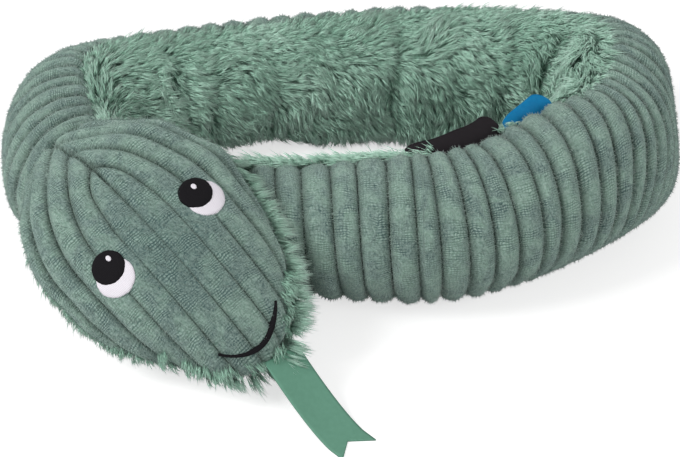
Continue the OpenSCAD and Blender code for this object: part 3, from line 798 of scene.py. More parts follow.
def head_skin(w, a, more=0.0, folded=1.0):
    """The head's smooth skin. From w = -1 to 0 it passes from the neck's section to the head's own, and next to the
    neck it swells and slips back over it in a soft fold, unless folded is 0."""
    t = np.clip(w + 1, 0, 1)
    merge = (np.sin(np.pi / 2 * t) ** 0.7)[..., None]
    upper = np.clip(0.55 + 0.6 * np.sin(np.radians(a)), 0, 1) * plateau(a, -20, 10, 160, 186)
    fold = np.where(w < 0, (1 - np.exp(-t / 0.05)) * np.exp(-t / 0.33), 0.0) * upper * folded
    own = head_section(head_u(w), a, more + fold_swell * fold)
    neck = throat_section(throat_length * t, a, more + fold_swell * fold)
    point = own * merge + neck * (1 - merge) - fold_slip * fold[..., None] * neck_forward
    point[..., 2] = resting(point[..., 2])
    return point


def skin_slopes(w, a, w_step, a_step, last_w, more=0.0):
    """How the head's skin runs towards the nose and over the top, across a small step to either side."""
    ahead = head_skin(np.minimum(w + w_step, last_w), a, more) - head_skin(w - w_step, a, more)
    return ahead, head_skin(w, a + a_step, more) - head_skin(w, a - a_step, more)


def head_uv(points):
    """Where points lie on the head: how far towards the nose and towards the far side from its centre."""
    return (points - head_centre) @ to_nose, (points - head_centre) @ to_far


def hem(w):
    """1 at the head's first row, and away to nothing right after it."""
    return bell(w, -1, 0.03)[..., None]


def tucked_in(w, a, inward, back):
    """The move that slips the head's first row in under the neck's cloth: inward, and back along the neck."""
    return throat_section(0 * w, a, -inward) - throat_section(0 * w, a) - back * neck_forward


head_rib_pitch = 10.5
dart_v, dart_tip, dart_pull, dart_reach = -0.7, -24.0, 0.0098, 12
panel_near_edge, panel_far_edge = -15.0, 187.0
ring_angles, over_top = np.linspace(-40, 220, 521), slice(100, 421)


def head_ribs(w, side, numbers):
    """The angle at which each rib number lies on the ring of the head at w, on one side of the middle line, and its
    distance from that line. A number is the distance round the ring plus the dart's pull, which grows as the square
    of the distance behind the widest place, and counts in full only where the dart has reached."""
    ring = head_skin(np.repeat(w[:, None], len(ring_angles), 1), np.repeat(ring_angles[None], len(w), 0))
    steps = np.linalg.norm(np.diff(ring, axis=1), axis=2)
    tape = np.concatenate([np.zeros((len(w), 1)), np.cumsum(steps, axis=1)], 1)
    out_a, out_x = [], []
    for u, v, tape_row in zip(*head_uv(ring), tape):
        middle = np.interp(dart_v, v[over_top], ring_angles[over_top])
        x = side * (tape_row - np.interp(middle, ring_angles, tape_row))
        pull = np.where(u < 0, dart_pull * u ** 2, 0.0)
        reached = ramp(dart_tip - u, -6, 6)
        own = x >= 0
        count = (x + pull * (reached + (1 - reached) * np.clip(x / dart_reach, 0, 1)))[own][::side]
        count = np.maximum.accumulate(count + np.linspace(0, 1e-6, len(count)))
        on_dart = numbers < count[0]
        out_a.append(np.where(on_dart, middle, np.interp(numbers, count, ring_angles[own][::side])))
        out_x.append(np.where(on_dart, 0.0, np.interp(numbers, count, x[own][::side])))
    return np.stack(out_a), np.stack(out_x)


# Round each eye the ribs are shallow, and right under its stitches there is no nap.
eye_places = [(6.0, -20.0), (6.0, 21.2)]
eye_calm, eye_reach, eye_bare = 0.85, 9.0, 8.5
panel_rows, ribs_each_side = 200, 8


def head_rib_shape(number, u):
    """Height of a rib on the head, from 0 in its valley to 1 on its crest. Towards the nose the valleys are thin."""
    return np.abs(np.sin(np.pi * number)) ** np.interp(u, [-5, 30], [0.6, 0.4])


def head_swell(u, v):
    """Slow swelling of the panel over the lumps of the stuffing."""
    return 0.8 * lumps(u / 11, v / 11, 8) + 0.3 * lumps(u / 4, v / 4, 9)


def stroked_and_shaded_brow(u, v):
    """1 between the eyes, where the pile is brushed back and where shade is painted."""
    return bell(u, 12, 24) * bell(v, -1, 19)


def head_panel(side):
    """One half of the panel. Its lines follow the ribs and end on the dart, and its rows go from neck to nose."""
    w = np.linspace(-1, 0.999, panel_rows)
    steps = (np.arange(ribs_each_side)[:, None] + rib_steps).ravel()
    a, reach = head_ribs(w, side, steps * head_rib_pitch)
    edge = panel_far_edge if side > 0 else panel_near_edge
    a = np.minimum(a, edge) if side > 0 else np.maximum(a, edge)
    number = np.where(reach < 1e-6, 0.0, steps[None])
    w = np.repeat(w[:, None], len(steps), 1)
    base = head_skin(w, a)
    ahead, over = skin_slopes(w, a, 0.002, 0.3, 0.9999)
    n = facing(unit(np.cross(over, ahead)), base - head_centre)
    u, v = head_uv(base)
    calm = np.ones_like(u)
    for eye_u, eye_v in eye_places:
        calm *= 1 - eye_calm * np.exp(-(((u - eye_u) ** 2 + (v - eye_v) ** 2) / eye_reach ** 2) ** 2)
    stroked_and_shaded = stroked_and_shaded_brow(u, v)
    side_depth = np.where(v < 0, 1.5, 1.0) * np.clip((np.abs(v + 4) - 16) / 15, 0, 1)
    depth = (1.4 + 1.1 * np.clip((15 - u) / 40, 0, 1) + side_depth) * calm * (1 - 0.35 * stroked_and_shaded)
    dart = bell(reach, 0, 1.3) * np.clip((dart_tip + 4 - u) / 8, 0, 1)
    sunk_edge = 3.0 * bell(np.radians(a - edge) * 30, 0, 3.0)
    rib = head_rib_shape(number, u)
    lift = head_swell(u, v) - depth * (1 - rib) - 1.6 * dart - sunk_edge
    tucked = tucked_in(w, a, 2.2 + 3.4 * ramp(a, 100, 125), 7)
    points = base + n * lift[..., None] * (1 - hem(w)) + tucked * hem(w)
    uv = np.stack([side * reach + 200, u + 100], -1) / 100
    # The crest sets the painted valley shade: less of it round the eyes and between them, where the ribs are
    # shallower, and painted shade in the dart.
    crest = np.clip(rib + 0.5 * (1 - calm) + 0.45 * stroked_and_shaded, 0, 1) * (1 - 0.8 * dart)
    triangles = grid_triangles(panel_rows, len(steps))[:, ::side]
    return points.reshape(-1, 3), triangles, uv.reshape(-1, 2), crest.ravel(), stroked_and_shaded.ravel(), n.reshape(-1, 3)


def joined(parts):
    """Several sheets of points, triangles and values as one."""
    counts = np.cumsum([0] + [len(part[0]) for part in parts])
    columns = [np.concatenate(column) for column in zip(*[[part[0]] + list(part[2:]) for part in parts])]
    triangles = np.concatenate([part[1] + count for part, count in zip(parts, counts)])
    return [columns[0], triangles] + columns[1:]


points, triangles, uv, crest, stroked_and_shaded, normals = merged(*joined([head_panel(1), head_panel(-1)]))
root, up = scattered(points, triangles, normals, seed=95)
points, triangles, uv, crest, stroked_and_shaded = thickened(points, triangles, normals, cloth_depth, uv, crest, stroked_and_shaded)
head_cloth = fill_mesh("head_ribbed_cloth", points, triangles, ribbed, uv, {"crest": crest, "stroked_and_shaded": stroked_and_shaded})
u, v = head_uv(root)
clear = np.min([np.hypot(u - eye_u, v - eye_v) for eye_u, eye_v in eye_places], axis=0) > eye_bare
root, up = root[clear], up[clear]
forward = unit(to_nose - (up @ to_nose)[:, None] * up)
# Between the eyes the nap's tone is lowered: painted shade.
nap = nap_piece("head_short_nap", root, up, forward, nap_tone(root) - 0.35 * stroked_and_shaded_brow(*head_uv(root)), seed=96)
for piece, fill in ((head_cloth, 0.85), (nap, None)):
    lift_with_head(piece)
    stand_for(piece, "ribbed_cloth", "head_top_cover", fill=fill)


# The fur along the inside of the body and under the head.
# Long-pile plush: a knitted back with a dense, tousled pile that stands up and
# falls over. The skin is the knitted back, seen only in the partings.
fur_depth, skin_depth = 3.0, 1.2
skin_base, skin_bottom = 0.6, 266.0
# Each parting has its place along the body, and how strongly the pile opens there.
partings = [(221.0, 0.9), (244.0, 0.5), (267.0, 0.25), (293.0, 0.9), (318.0, 0.2), (345.0, 0.35), (371.0, 0.5),
            (384.0, 0.7)]


def opening(s, reach):
    """How far the pile has parted at s: the sum of one bell for each parting."""
    return sum(strength * bell(s, place, reach) for place, strength in partings)


def fuller_low(s):
    """1 along the back stretch, where the plush fills out low over the floor, and less past its middle."""
    return ramp(s, 245, 270) * (1 - 0.6 * ramp(s, 278, 296)) * (1 - ramp(s, 318, 345))


def fur_radius(s, a):
    """Distance of the knitted back from the middle line, with a crease at each place where the pile parts."""
    r = along(s, radius_at)
    crease = 2.2 * opening(s, 3.0) * plateau(a, 70, 110, 175, 200)
    swell = 0.8 * lumps(s / 10, np.radians(a) * r / 10, 12)
    return r - fur_depth + bulge(s, a) + swell - crease + 2.4 * bell(a, 218, 24) * fuller_low(s)


def fine_noise(tree, scale, **settings):
    """Noise over the object's own place, and the same stretched to run from 0 to 1."""
    place = put(tree, "TexCoord").outputs["Object"]
    noise = put(tree, "TexNoise", Vector=place, Scale=scale, **settings).outputs["Fac"]
    return noise, rescaled(tree, noise, 0.35, 0.65)


def skin_material():
    """The knitted back of the plush, a darker green than the pile: painted shade between the roots of the pile."""
    material, tree = new_material("plush_back")
    speck, share = fine_noise(tree, 900.0, Detail=3.0)
    colour = mixed_colour(tree, share, rgb(84, 116, 100), rgb(128, 164, 146))
    return finished(material, tree, Base_Color=colour, Roughness=0.95, Normal=bumped(tree, speck, 0.6, 0.0006),
                    Specular_IOR_Level=0.1)


plush_back = skin_material()


def skin_piece(name, low, high):
    """The knitted back of the plush between two lengths, tucked under the ribbed cloth at both seams."""
    rows, columns = max(8, int((high - low) / 1.6)), 64
    s, share = np.meshgrid(np.linspace(low, high, rows), np.linspace(0, 1, columns), indexing="ij")
    top = along(s, seam_at) - 7
    a = top + (skin_bottom - top) * share
    points = body_point(s, a, fur_radius(s, a), skin_base)
    points, triangles, outward = merged(points.reshape(-1, 3), grid_triangles(rows, columns),
                                        body_normal(s, a).reshape(-1, 3))
    return fill_mesh(name, *thickened(points, triangles, outward, skin_depth), plush_back)


def pile_material():
    """The pile of the plush: each tuft has a tone of its own, and is painted darker towards the root, as the shade
    among the hairs, and palest at the tip.
    """
    material, tree = new_material("long_pile")
    uv, tone, out = hair_place(tree)
    tip = mixed_colour(tree, tone, rgb(168, 208, 188), rgb(218, 244, 231))
    middle = mixed_colour(tree, tone, rgb(138, 180, 160), rgb(178, 217, 198))
    # The darker root colour is painted shade among the hairs.
    lower = mixed_colour(tree, rescaled(tree, out, 0.05, 0.5), rgb(112, 154, 134), middle)
    colour = mixed_colour(tree, rescaled(tree, out, 0.45, 1.0), lower, tip)
    speck = put(tree, "TexNoise", Vector=uv, Scale=60.0, Detail=2.0).outputs["Fac"]
    colour = mixed_colour(tree, rescaled(tree, speck, 0.3, 0.7, 0.0, 0.25), colour, rgb(120, 158, 138))
    return finished(material, tree, Base_Color=colour, Roughness=0.7, Specular_IOR_Level=0.15, Sheen_Weight=0.2,
                    Sheen_Roughness=0.4)


long_pile = pile_material()
tuft_spread, bow_place, bow_height, pile_floor = 1.25, 0.52, 0.13, 0.15


def pile_piece(name, root, up, comb, length, tone, seed, hairs=9, thick=0.34, loose=0.75):
    """Tufts of pile on a skin. Each tuft has a few hairs whose roots stand round its own root and whose tips
    lean together to one point, up from the skin and over along comb. A hair is a slim closed spindle: a point at
    the root, a ring of three past its middle, bowed away from the skin, and a point at the tip."""
    chance = np.random.default_rng(seed)
    n = len(root)
    side = unit(np.cross(comb, up))
    lie = chance.uniform(0.8, 1.35, (n, 1))
    tip = root + length[:, None] * unit(up * (1.05 - 0.62 * lie) + comb * lie + 0.11 * chance.normal(size=(n, 3)))
    around = chance.uniform(0, 2 * np.pi, (n, hairs, 1))
    spread = tuft_spread * np.sqrt(chance.uniform(0, 1, (n, hairs, 1)))
    start = root[:, None] + spread * (np.cos(around) * comb[:, None] + np.sin(around) * side[:, None])
    end = tip[:, None] + loose * chance.normal(size=(n, hairs, 3))
    end = end + (end - start) * chance.uniform(-0.3, 0.05, (n, hairs, 1))
    way = end - start
    bow = start + bow_place * way + bow_height * np.linalg.norm(way, axis=-1, keepdims=True) * up[:, None]
    across = unit(np.cross(way, up[:, None] + 0.3 * chance.normal(size=(n, hairs, 3))))
    half = 0.5 * thick * chance.uniform(0.7, 1.25, (n, hairs, 1))
    ring = ring_of_three(bow, half, unit(np.cross(across, way)), across)
    points = np.stack([start] + ring + [end], 2).reshape(-1, 3)
    points[:, 2] = np.maximum(points[:, 2], pile_floor)
    k = (np.arange(n * hairs) * 5)[:, None]
    sides = ([0, 2, 1], [0, 3, 2], [0, 1, 3], [4, 1, 2], [4, 2, 3], [4, 3, 1])
    triangles = np.concatenate([k + corners for corners in sides])
    u = np.clip(tone[:, None] + 0.07 * chance.normal(size=(n, hairs)), 0.03, 0.97)
    uv = np.zeros((n, hairs, 5, 2))
    uv[..., 0] = u[..., None] + np.array([0, 0, -0.02, 0.02, 0])
    uv[..., 1] = np.array([0.02, 0.6, 0.6, 0.6, 0.98])
    return fill_mesh(name, points, triangles, long_pile, uv.reshape(-1, 2), uv_name="OFBake")


tuft_gap = 1.5
fur_bottom = 262.0
widest_fur = 3.3 * 28
label_spans = [(80.0, 112.0), (126.0, 147.0)]
least_tone, most_tone = 0.05, 0.95


def body_roots(low, high, chance):
    """Where the tufts between two lengths stand, and whether a label lies over them: one tuft to each cell of a
    grid, set off its middle by chance, fewer where the bend crowds them and fewer still underneath."""
    rows, columns = int((high - low) / tuft_gap), int(widest_fur / tuft_gap)
    s = low + (high - low) * (np.arange(rows)[:, None] + chance.uniform(0, 1, (rows, columns))) / rows
    top = along(s, seam_at) + 1.0
    a = top + (fur_bottom - top) * (np.arange(columns)[None] + chance.uniform(0, 1, (rows, columns))) / columns
    s, a = s.ravel(), a.ravel()
    r, seam = along(s, radius_at), along(s, seam_at)
    crowded = (1 + r * np.cos(np.radians(a)) * np.interp(s, route[:, 0], turning)).clip(0.2, 1.6)
    keep = crowded * (fur_bottom - seam) * np.radians(1) * r / (columns * tuft_gap) * np.where(a > 238, 0.4, 1.0)
    by_label = sum((s > first + 3) & (s < last + 4) for first, last in label_spans) * (a < seam + 16)
    keep *= 1 - by_label * (a < seam + 7)
    chosen = chance.uniform(0, 1, len(s)) < keep
    return s[chosen], a[chosen], by_label[chosen]


def body_tufts(low, high, seed):
    """Roots, directions, lengths and tones of the tufts between two lengths. They lean back along the body and
    swirl by chance, more so lower down. They fall over the seam, away from the partings, and lie flat under the
    labels. They are longest along the front seam, and shorter in the partings, low on the sides and at the tail."""
    chance = np.random.default_rng(seed)
    s, a, by_label = body_roots(low, high, chance)
    r = along(s, radius_at)
    across = np.radians(a) * r
    from_seam = across - np.radians(along(s, seam_at)) * r
    parted = plateau(a, 80, 110, 185, 210)
    opened = opening(s, 2.6) * parted
    low_edge = ramp(a, 190, 215)
    floor_fur = low_edge * fuller_low(s)
    front_seam = (1 - ramp(s, 100, 130)) * bell(from_seam, 0, 9)

    heading = np.radians(along(s, heading_at))
    back = -np.stack([np.cos(heading), np.sin(heading), 0 * s], -1)
    up = body_normal(s, a)
    around = facing(unit(np.cross(back, up)), body_point(s, a + 2, r) - body_point(s, a, r))
    swirl = np.interp(a, [80, 130, 170, 220], [0.0, 0.25, 0.85, 1.35]) + 1.2 * lumps(s / 7, across / 7, 21)
    swirl = swirl + 0.75 * lumps(s / 2.6, across / 2.6, 22) + 0.18 * chance.normal(size=len(s))
    over_edge = bell(from_seam, 0, 4.5)[:, None]
    comb = back * np.cos(swirl)[:, None] + around * np.sin(swirl)[:, None] * (1 - over_edge)
    comb = unit(comb - 0.9 * over_edge * around)
    swept = sum(strength * np.tanh((s - place) / 1.5) * bell(s, place, 6.0) for place, strength in partings)
    comb = unit(comb - 1.4 * (swept * parted)[:, None] * back)
    comb = np.where(by_label[:, None] > 0, unit(around + 0.3 * back), comb)
    up = unit(up - 0.35 * (1 - by_label[:, None]) * over_edge * around)
    comb = unit(comb + 1.1 * floor_fur[:, None] * up)

    length = 9.4 + (0.7 + 4.3 * (1 - ramp(s, 18, 52))) * front_seam
    length = length - (2.4 * ramp(s, 235, 260) + 0.3 * ramp(s, 285, 318)) * bell(from_seam, 0, 8)
    length = length + 0.8 * floor_fur - low_edge * (3.0 * ramp(s, 330, 350) + 2.0 * (1 - ramp(s, 225, 260)))
    length = length * (1 - 0.42 * opened.clip(0, 1)) + 1.1 * lumps(s / 4, across / 4, 23)
    length = (length + 0.6 * chance.normal(size=len(s))).clip(4, 11.5 + 2.5 * front_seam)
    length = np.where(by_label > 0, 4.2, length) * (0.6 + 0.4 * ramp(s, 2, 12))

    # The tone is painted darker in the partings, as their shade, and painted lighter lower down the inside of the
    # body, as light where it lies in shade.
    tone = 0.5 - 0.3 * opened + 0.45 * lumps(s / 8, across / 8, 24) + 0.16 * chance.normal(size=len(s))
    tone = tone + 0.2 * ramp(a, 140, 200) - 0.1 * front_seam + 0.25 * bell(s, 195, 45)
    root = body_point(s, a, fur_radius(s, a) - 0.3, skin_base)
    return root, up, comb, length, tone.clip(least_tone, most_tone)


# Each run of fur has a name, its two ends along the body, the joint that it follows, and the sections it covers.
fur_runs = [("tail", 0.0, 72.0, "tail", ["tail"]), ("front", 72.0, 150.0, "front", ["front"]),
            ("right", 150.0, 211.0, "right", ["right"]), ("corner", 211.0, 250.0, "corner", ["corner"]),
            ("back_right", 250.0, 287.0, None, ["back"]), ("back_left", 287.0, 325.0, None, ["back"]),
            ("back_end", 325.0, 362.0, None, ["back"]), ("left", 362.0, body_length - 60.0, "left", ["left"]),
            ("neck", body_length - 60.0, body_length - 14.0, "neck", ["left", "neck"]),
            ("neck_end", body_length - 14.0, body_length, "head", ["neck"])]


def follow(piece, joint):
    """Parents a stretch of fur or stuffing to the back, or hands it on to bend_at at a joint of the body or to
    lift_with_head, which only bake its place.
    """
    if joint is None:
        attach(piece, "back")
    elif joint == "head":
        lift_with_head(piece)
    else:
        bend_at(piece, joint)


for number, (name, low, high, joint, sections) in enumerate(fur_runs):
    skin = skin_piece(name + "_plush_back", low, high)
    pile = pile_piece(name + "_long_pile", *body_tufts(low, high, 100 + number), seed=200 + number)
    for piece in (skin, pile):
        follow(piece, joint)
        stand_for(piece, "long_fur", *[section + "_fur" for section in sections], fill=0.8)


# The plush under the head, with a longer fringe all round where it meets the
# ribbed panel.
tufts_tried = 15000
fringe_far, fringe_near, degree_wide, fringe_reach = 178, 354, 0.45, 7.0
mouth_front, mouth_middle, mouth_half, mouth_curl = 57.2, 1.2, 15.0, 8.6


def from_middle(w, points):
    """The way from the head's middle line out to points of its skin."""
    return points - (head_centre + head_u(w)[..., None] * to_nose)


def under_head_skin():
    """The knitted back of the plush under the head, between the two edges of the ribbed panel."""
    w, a = np.meshgrid(np.linspace(-1, 0.999, 70), np.linspace(176, 356, 70), indexing="ij")
    points = head_skin(w, a, -fur_depth) + tucked_in(w, a, 1.0, 5) * hem(w)
    points[..., 2] = np.maximum(points[..., 2], skin_base)
    n = facing(unit(np.cross(np.gradient(points, axis=1), np.gradient(points, axis=0))), from_middle(w, points))
    points, triangles, n = merged(points.reshape(-1, 3), grid_triangles(*w.shape)[:, ::-1], n.reshape(-1, 3))
    return fill_mesh("head_plush_back", *thickened(points, triangles, n, skin_depth), plush_back)


def under_head_roots(chance):
    """Where the tufts under the head stand: strewn by chance over w and a, kept by the area that each stands for,
    denser in the fringe, and sparse where the floor or the tail hides them. Those on top peep out past the
    panel's edge, beyond the mouth only."""
    w = chance.uniform(-1, 0.995, tufts_tried)
    a = -182 + 364 * chance.uniform(0, 1, tufts_tried)
    a = np.where(a < 2, a + 360, a)
    top = a < fringe_far
    point = head_skin(w, a, -fur_depth + 0.2 + 2.4 * top)
    u, v = head_uv(point)
    beyond_mouth = u > mouth_front + 2.4 - mouth_curl * np.clip((v - mouth_middle) / mouth_half, -1.7, 1.5) ** 2
    ahead, over = skin_slopes(w, a, 0.004, 0.5, 0.999, -fur_depth)
    n = facing(unit(np.cross(over, ahead)), from_middle(w, point))
    area = np.linalg.norm(np.cross(ahead / 0.008, over / 1.0), axis=-1)
    edge = np.minimum(np.abs(a - fringe_far), np.abs(fringe_near - a)) * degree_wide
    denser = 1.5 * ramp(w, 0.75, 0.9) + ramp(w, 0.45, 0.6) * (1 - ramp(a, 215, 240))
    denser = denser + 2 * ramp(-w, 0.55, 0.75) * (1 - ramp(a, 240, 270))
    share = area / np.quantile(area, 0.97) * (1 + 0.9 * bell(edge, 0, fringe_reach)) * (1 + ~top * denser)
    hidden = (point[:, 2] < 1.2) | (n[:, 2] < -0.75)
    keep = chance.uniform(0, 1, tufts_tried) < share
    keep &= ~(hidden & (chance.uniform(0, 1, tufts_tried) < 0.6)) & (beyond_mouth | ~top)
    return w[keep], a[keep], top[keep], edge[keep], point[keep], n[keep], unit(ahead[keep])


def under_head_tufts(seed):
    """Tufts all over the underside of the head. They hang down and out, longest along the edge of the panel."""
    chance = np.random.default_rng(seed)
    w, a, top, edge, point, n, ahead = under_head_roots(chance)
    x, y, z = point.T / 3.6
    wander = np.stack([lumps(x, y, 51), lumps(x, z, 52), lumps(y, z, 53)], -1)
    fringe = np.where(top, 0, bell(edge, 0, fringe_reach))
    near_edge, far_edge = fringe * ramp(a, 290, 330), fringe * ramp(-a, -235, -200) * ramp(w, -0.2, 0.4)
    under_nose = ramp(w, 0.72, 0.88) * ramp(a, 205, 235)
    beside_nose = far_edge * ramp(w, 0.4, 0.65)

    ways = ((-0.9 * (1 - 0.7 * far_edge + under_nose), np.array([0, 0, 1])),
            (far_edge + 0.9 * beside_nose, to_far), (1.2 * beside_nose, to_nose),
            (0.45 - 0.3 * under_nose, ahead), (under_nose, np.array([0.4, 0, 0])),
            (1.1 - 0.6 * far_edge - 0.5 * near_edge, wander))
    comb = unit(sum(share[:, None] * way for share, way in ways) + 0.12 * chance.normal(size=point.shape))

    shorter = 2.8 + 1.2 * ramp(-w, -0.2, 0.2) + 1.6 * plateau(w, 0.25, 0.45, 0.62, 0.75)
    length = 7.2 + 2.6 * under_nose + (1.4 + ramp(w, 0.78, 0.92)) * fringe
    length = length + (2.4 + 1.6 * ramp(w, 0.6, 0.85)) * far_edge - near_edge * shorter * (1 - ramp(w, 0.75, 0.9))
    length = length + 0.7 * chance.normal(size=len(w)) - 1.6 * top
    length = length - 2.6 * ramp(a, 262, 295) * (1 - fringe) * plateau(w, 0.15, 0.4, 0.66, 0.8)
    length = length.clip(3.2, 13) * (1 - 0.45 * ramp(a, 262, 290) * bell(w, 0.62, 0.09))
    tone = 0.5 + 0.45 * lumps(w * 12, a / 14, 31) + 0.15 * chance.normal(size=len(w)) + 0.3 * far_edge - 0.15 * top
    return point, n, comb, length, tone.clip(least_tone, most_tone)


skin = under_head_skin()
pile = pile_piece("head_long_pile", *under_head_tufts(301), seed=302, hairs=12, thick=0.28, loose=0.8)
for piece in (skin, pile):
    lift_with_head(piece)
    stand_for(piece, "long_fur", "head_under_cover", fill=0.85)


# The stuffing.
# Loose polyester fibre fills the body and the head. It lies inside the covers, a
# little below the ribs' valleys, and nothing of it shows.
stuffing_inset, stuffing_base = 8.0, 3.0
stuffing_gap = 0.4


def fibre_material():
    """White crimped fibre, painted grey between the strands as their shade."""
    material, tree = new_material("stuffing_fibre")
    strand, share = fine_noise(tree, 420.0, Detail=5.0, Distortion=2.0)
    colour = mixed_colour(tree, share, rgb(196, 196, 192), rgb(242, 242, 238))
    return finished(material, tree, Base_Color=colour, Roughness=0.95, Normal=bumped(tree, strand, 0.7, 0.001),
                    Sheen_Weight=0.3)


fibre = fibre_material()


def fibre_piece(name, rings):
    """Stuffing inside a row of rings. Each ring closes on itself, both end rings are drawn in to their middle, and
    the faces are turned outwards, as the sign of the volume tells."""
    middle = rings.mean(1, keepdims=True)
    rings = np.concatenate([middle[:1] + 0 * rings[:1], rings, middle[-1:] + 0 * rings[-1:]])
    rings = np.concatenate([rings, rings[:, :1]], 1)
    points, triangles = merged(rings.reshape(-1, 3), grid_triangles(*rings.shape[:2]))
    points[:, 2] = np.maximum(points[:, 2], stuffing_base)
    a, b, c = points[triangles[:, 0]], points[triangles[:, 1]], points[triangles[:, 2]]
    if np.einsum("ij,ij->i", a, np.cross(b, c)).sum() < 0:
        triangles = triangles[:, ::-1]
    return fill_mesh(name, points, triangles, fibre)


for name, low, high, joint, sections in fur_runs:
    lengths = np.linspace(low + stuffing_gap, high - stuffing_gap, max(6, int((high - low) / 4)))
    s, a = np.meshgrid(lengths, np.linspace(0, 360, 37)[:-1], indexing="ij")
    r = np.maximum(along(s, radius_at) - stuffing_inset + 0.7 * lumps(s / 9, a / 30, 61), 0.5)
    piece = fibre_piece(name + "_stuffing", body_point(s, a, r, stuffing_base))
    follow(piece, joint)
    stand_for(piece, "stuffing", *[section + "_filling" for section in sections], fill=0.8)

w, a = np.meshgrid(np.linspace(-0.99, 0.93, 40), np.linspace(0, 360, 49)[:-1], indexing="ij")
piece = fibre_piece("head_stuffing", head_skin(w, a, -stuffing_inset, folded=0.0))
lift_with_head(piece)
stand_for(piece, "stuffing", "head_filling", fill=0.85)


# The eyes and the mouth.
# Machine embroidery: each eye is a white disc with a black one stitched over it and
# a white glint on top, and the mouth is one curved row of black satin stitches.
disc_rings = np.array([0, 0.2, 0.4, 0.6, 0.75, 0.87, 0.94, 0.98, 1.0, 1.0])
disc_spokes = 72
disc_rim, mouth_rim = -2.0, -1.5


def head_place(u, v, lift):
    """A point over the panel, u towards the nose and v towards the far side, lift above the cloth's crests. The
    share of the width at v gives the angle, once the section's squaring off is undone."""
    share = np.clip(np.abs(v) / (head_half_width * egg(u)), 0, 0.9999) ** (section_power / 2)
    a = np.degrees(np.arccos(-np.sign(v) * share))
    step = 0.3
    n = unit(np.cross(head_section(u + step, a) - head_section(u - step, a),
                      head_section(u, a + step) - head_section(u, a - step)))
    return head_section(u, a) + facing(n, to_top) * (head_swell(u, v) + lift)[..., None]


def thread_material(name, dark, light, roughness):
    """Satin stitch: fine parallel threads, lit along their backs."""
    material, tree = new_material(name)
    rows = put(tree, "TexWave", {"bands_direction": "X"}, Vector=cloth_place(tree), Scale=0.75, Distortion=1.2,
               Detail=1.0, Detail_Scale=1.5).outputs["Fac"]
    colour = mixed_colour(tree, rescaled(tree, rows, 0.2, 0.8), dark, light)
    return finished(material, tree, Base_Color=colour, Roughness=roughness, Specular_IOR_Level=0.12,
                    Normal=bumped(tree, rows, 0.6, 0.0002))


threads = {"white_thread": thread_material("white_thread", rgb(205, 200, 208), rgb(240, 236, 242), 0.55),
           "black_thread": thread_material("black_thread", rgb(6, 5, 7), rgb(22, 20, 24), 0.8)}


def stitched_disc(name, thread, u0, v0, radius, low, high, seed, stretch, wave):
    """A disc of stitches: a polar grid whose height rises from low at its edge to high within a millimetre, so that
    it is domed like padded satin stitch. Its outline wavers by a stitch's width, and its rim goes into the cloth."""
    rho, angle = np.meshgrid(disc_rings, np.linspace(0, 2 * np.pi, disc_spokes, endpoint=False), indexing="ij")
    edge = 1 + wave * np.sin(9 * angle + seed) + wave * np.sin(23 * angle + 2 * seed)
    u, v = u0 + stretch * radius * rho * edge * np.cos(angle), v0 + radius * rho * edge * np.sin(angle)
    lift = low + (high - low) * (1 - rho ** 8) ** 0.5
    lift[-1] = disc_rim
    index = np.arange(rho.size).reshape(rho.shape)
    k, beside = index[:-1].ravel(), np.roll(index, -1, 1)[:-1].ravel()
    triangles = np.concatenate([np.stack([k, k + disc_spokes, beside], 1),
                                np.stack([beside, k + disc_spokes, beside + disc_spokes], 1)])
    uv = np.stack([u, v], -1) / 100 + 0.7
    points, triangles, uv = merged(head_place(u, v, lift).reshape(-1, 3), triangles, uv.reshape(-1, 2))
    return fill_mesh(name, points, triangles, threads[thread], uv)


# Each eye has the places of its three layers. Each layer has a name, its thread and its CAD node, then radius, low,
# high, seed, stretch and wave.
eyes = {"near": [(7.6, -21.1), (3.4, -20.6), (1.4, -18.6)], "far": [(5.9, 21.1), (2.5, 19.4), (0.5, 20.1)]}
layers = [("white", "white_thread", "white", 6.8, 0.1, 0.75, 1, 1.0, 0.006),
          ("black", "black_thread", "pupil", 5.9, 0.5, 1.35, 4, 1.0, 0.008),
          ("glint", "white_thread", "spot", 0.85, 1.2, 1.75, 2, 1.35, 0.03)]
for name, places in eyes.items():
    for place, (layer, thread, node, *shape) in zip(places, layers):
        piece = stitched_disc(f"{name}_eye_{layer}_stitches", thread, *place, *shape)
        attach(piece, "head")
        stand_for(piece, thread, f"{name}_eye_{node}")

t = np.linspace(-0.9, 1.0, 61)
mouth_u, mouth_v = mouth_front - mouth_curl * t ** 2, mouth_middle + mouth_half * t
half_width = 0.5 * np.interp(t, [-0.9, -0.6, -0.2, 0.3, 0.7, 1.0], [0.5, 0.9, 1.4, 1.7, 1.4, 0.5])
slope = np.gradient(mouth_u, mouth_v)
across_u, across_v = 1 / np.hypot(1, slope), -slope / np.hypot(1, slope)
over = np.radians(np.linspace(0, 180, 9))
width_at = half_width[:, None] * np.cos(over)
lift = np.tile(0.25 + 0.85 * np.sin(over), (len(t), 1))
lift[:, [0, -1]] = mouth_rim
points = head_place(mouth_u[:, None] + across_u[:, None] * width_at,
                    mouth_v[:, None] + across_v[:, None] * width_at, lift)
uv = np.stack(np.broadcast_arrays(0.8 + mouth_v[:, None] / 100, 0.2 + width_at / 100), -1)
triangles = grid_triangles(len(t), len(over))[:, ::-1]
mouth = fill_mesh("mouth_stitches", points.reshape(-1, 3), triangles, threads["black_thread"], uv.reshape(-1, 2))
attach(mouth, "head")
stand_for(mouth, "black_thread", "mouth_line")


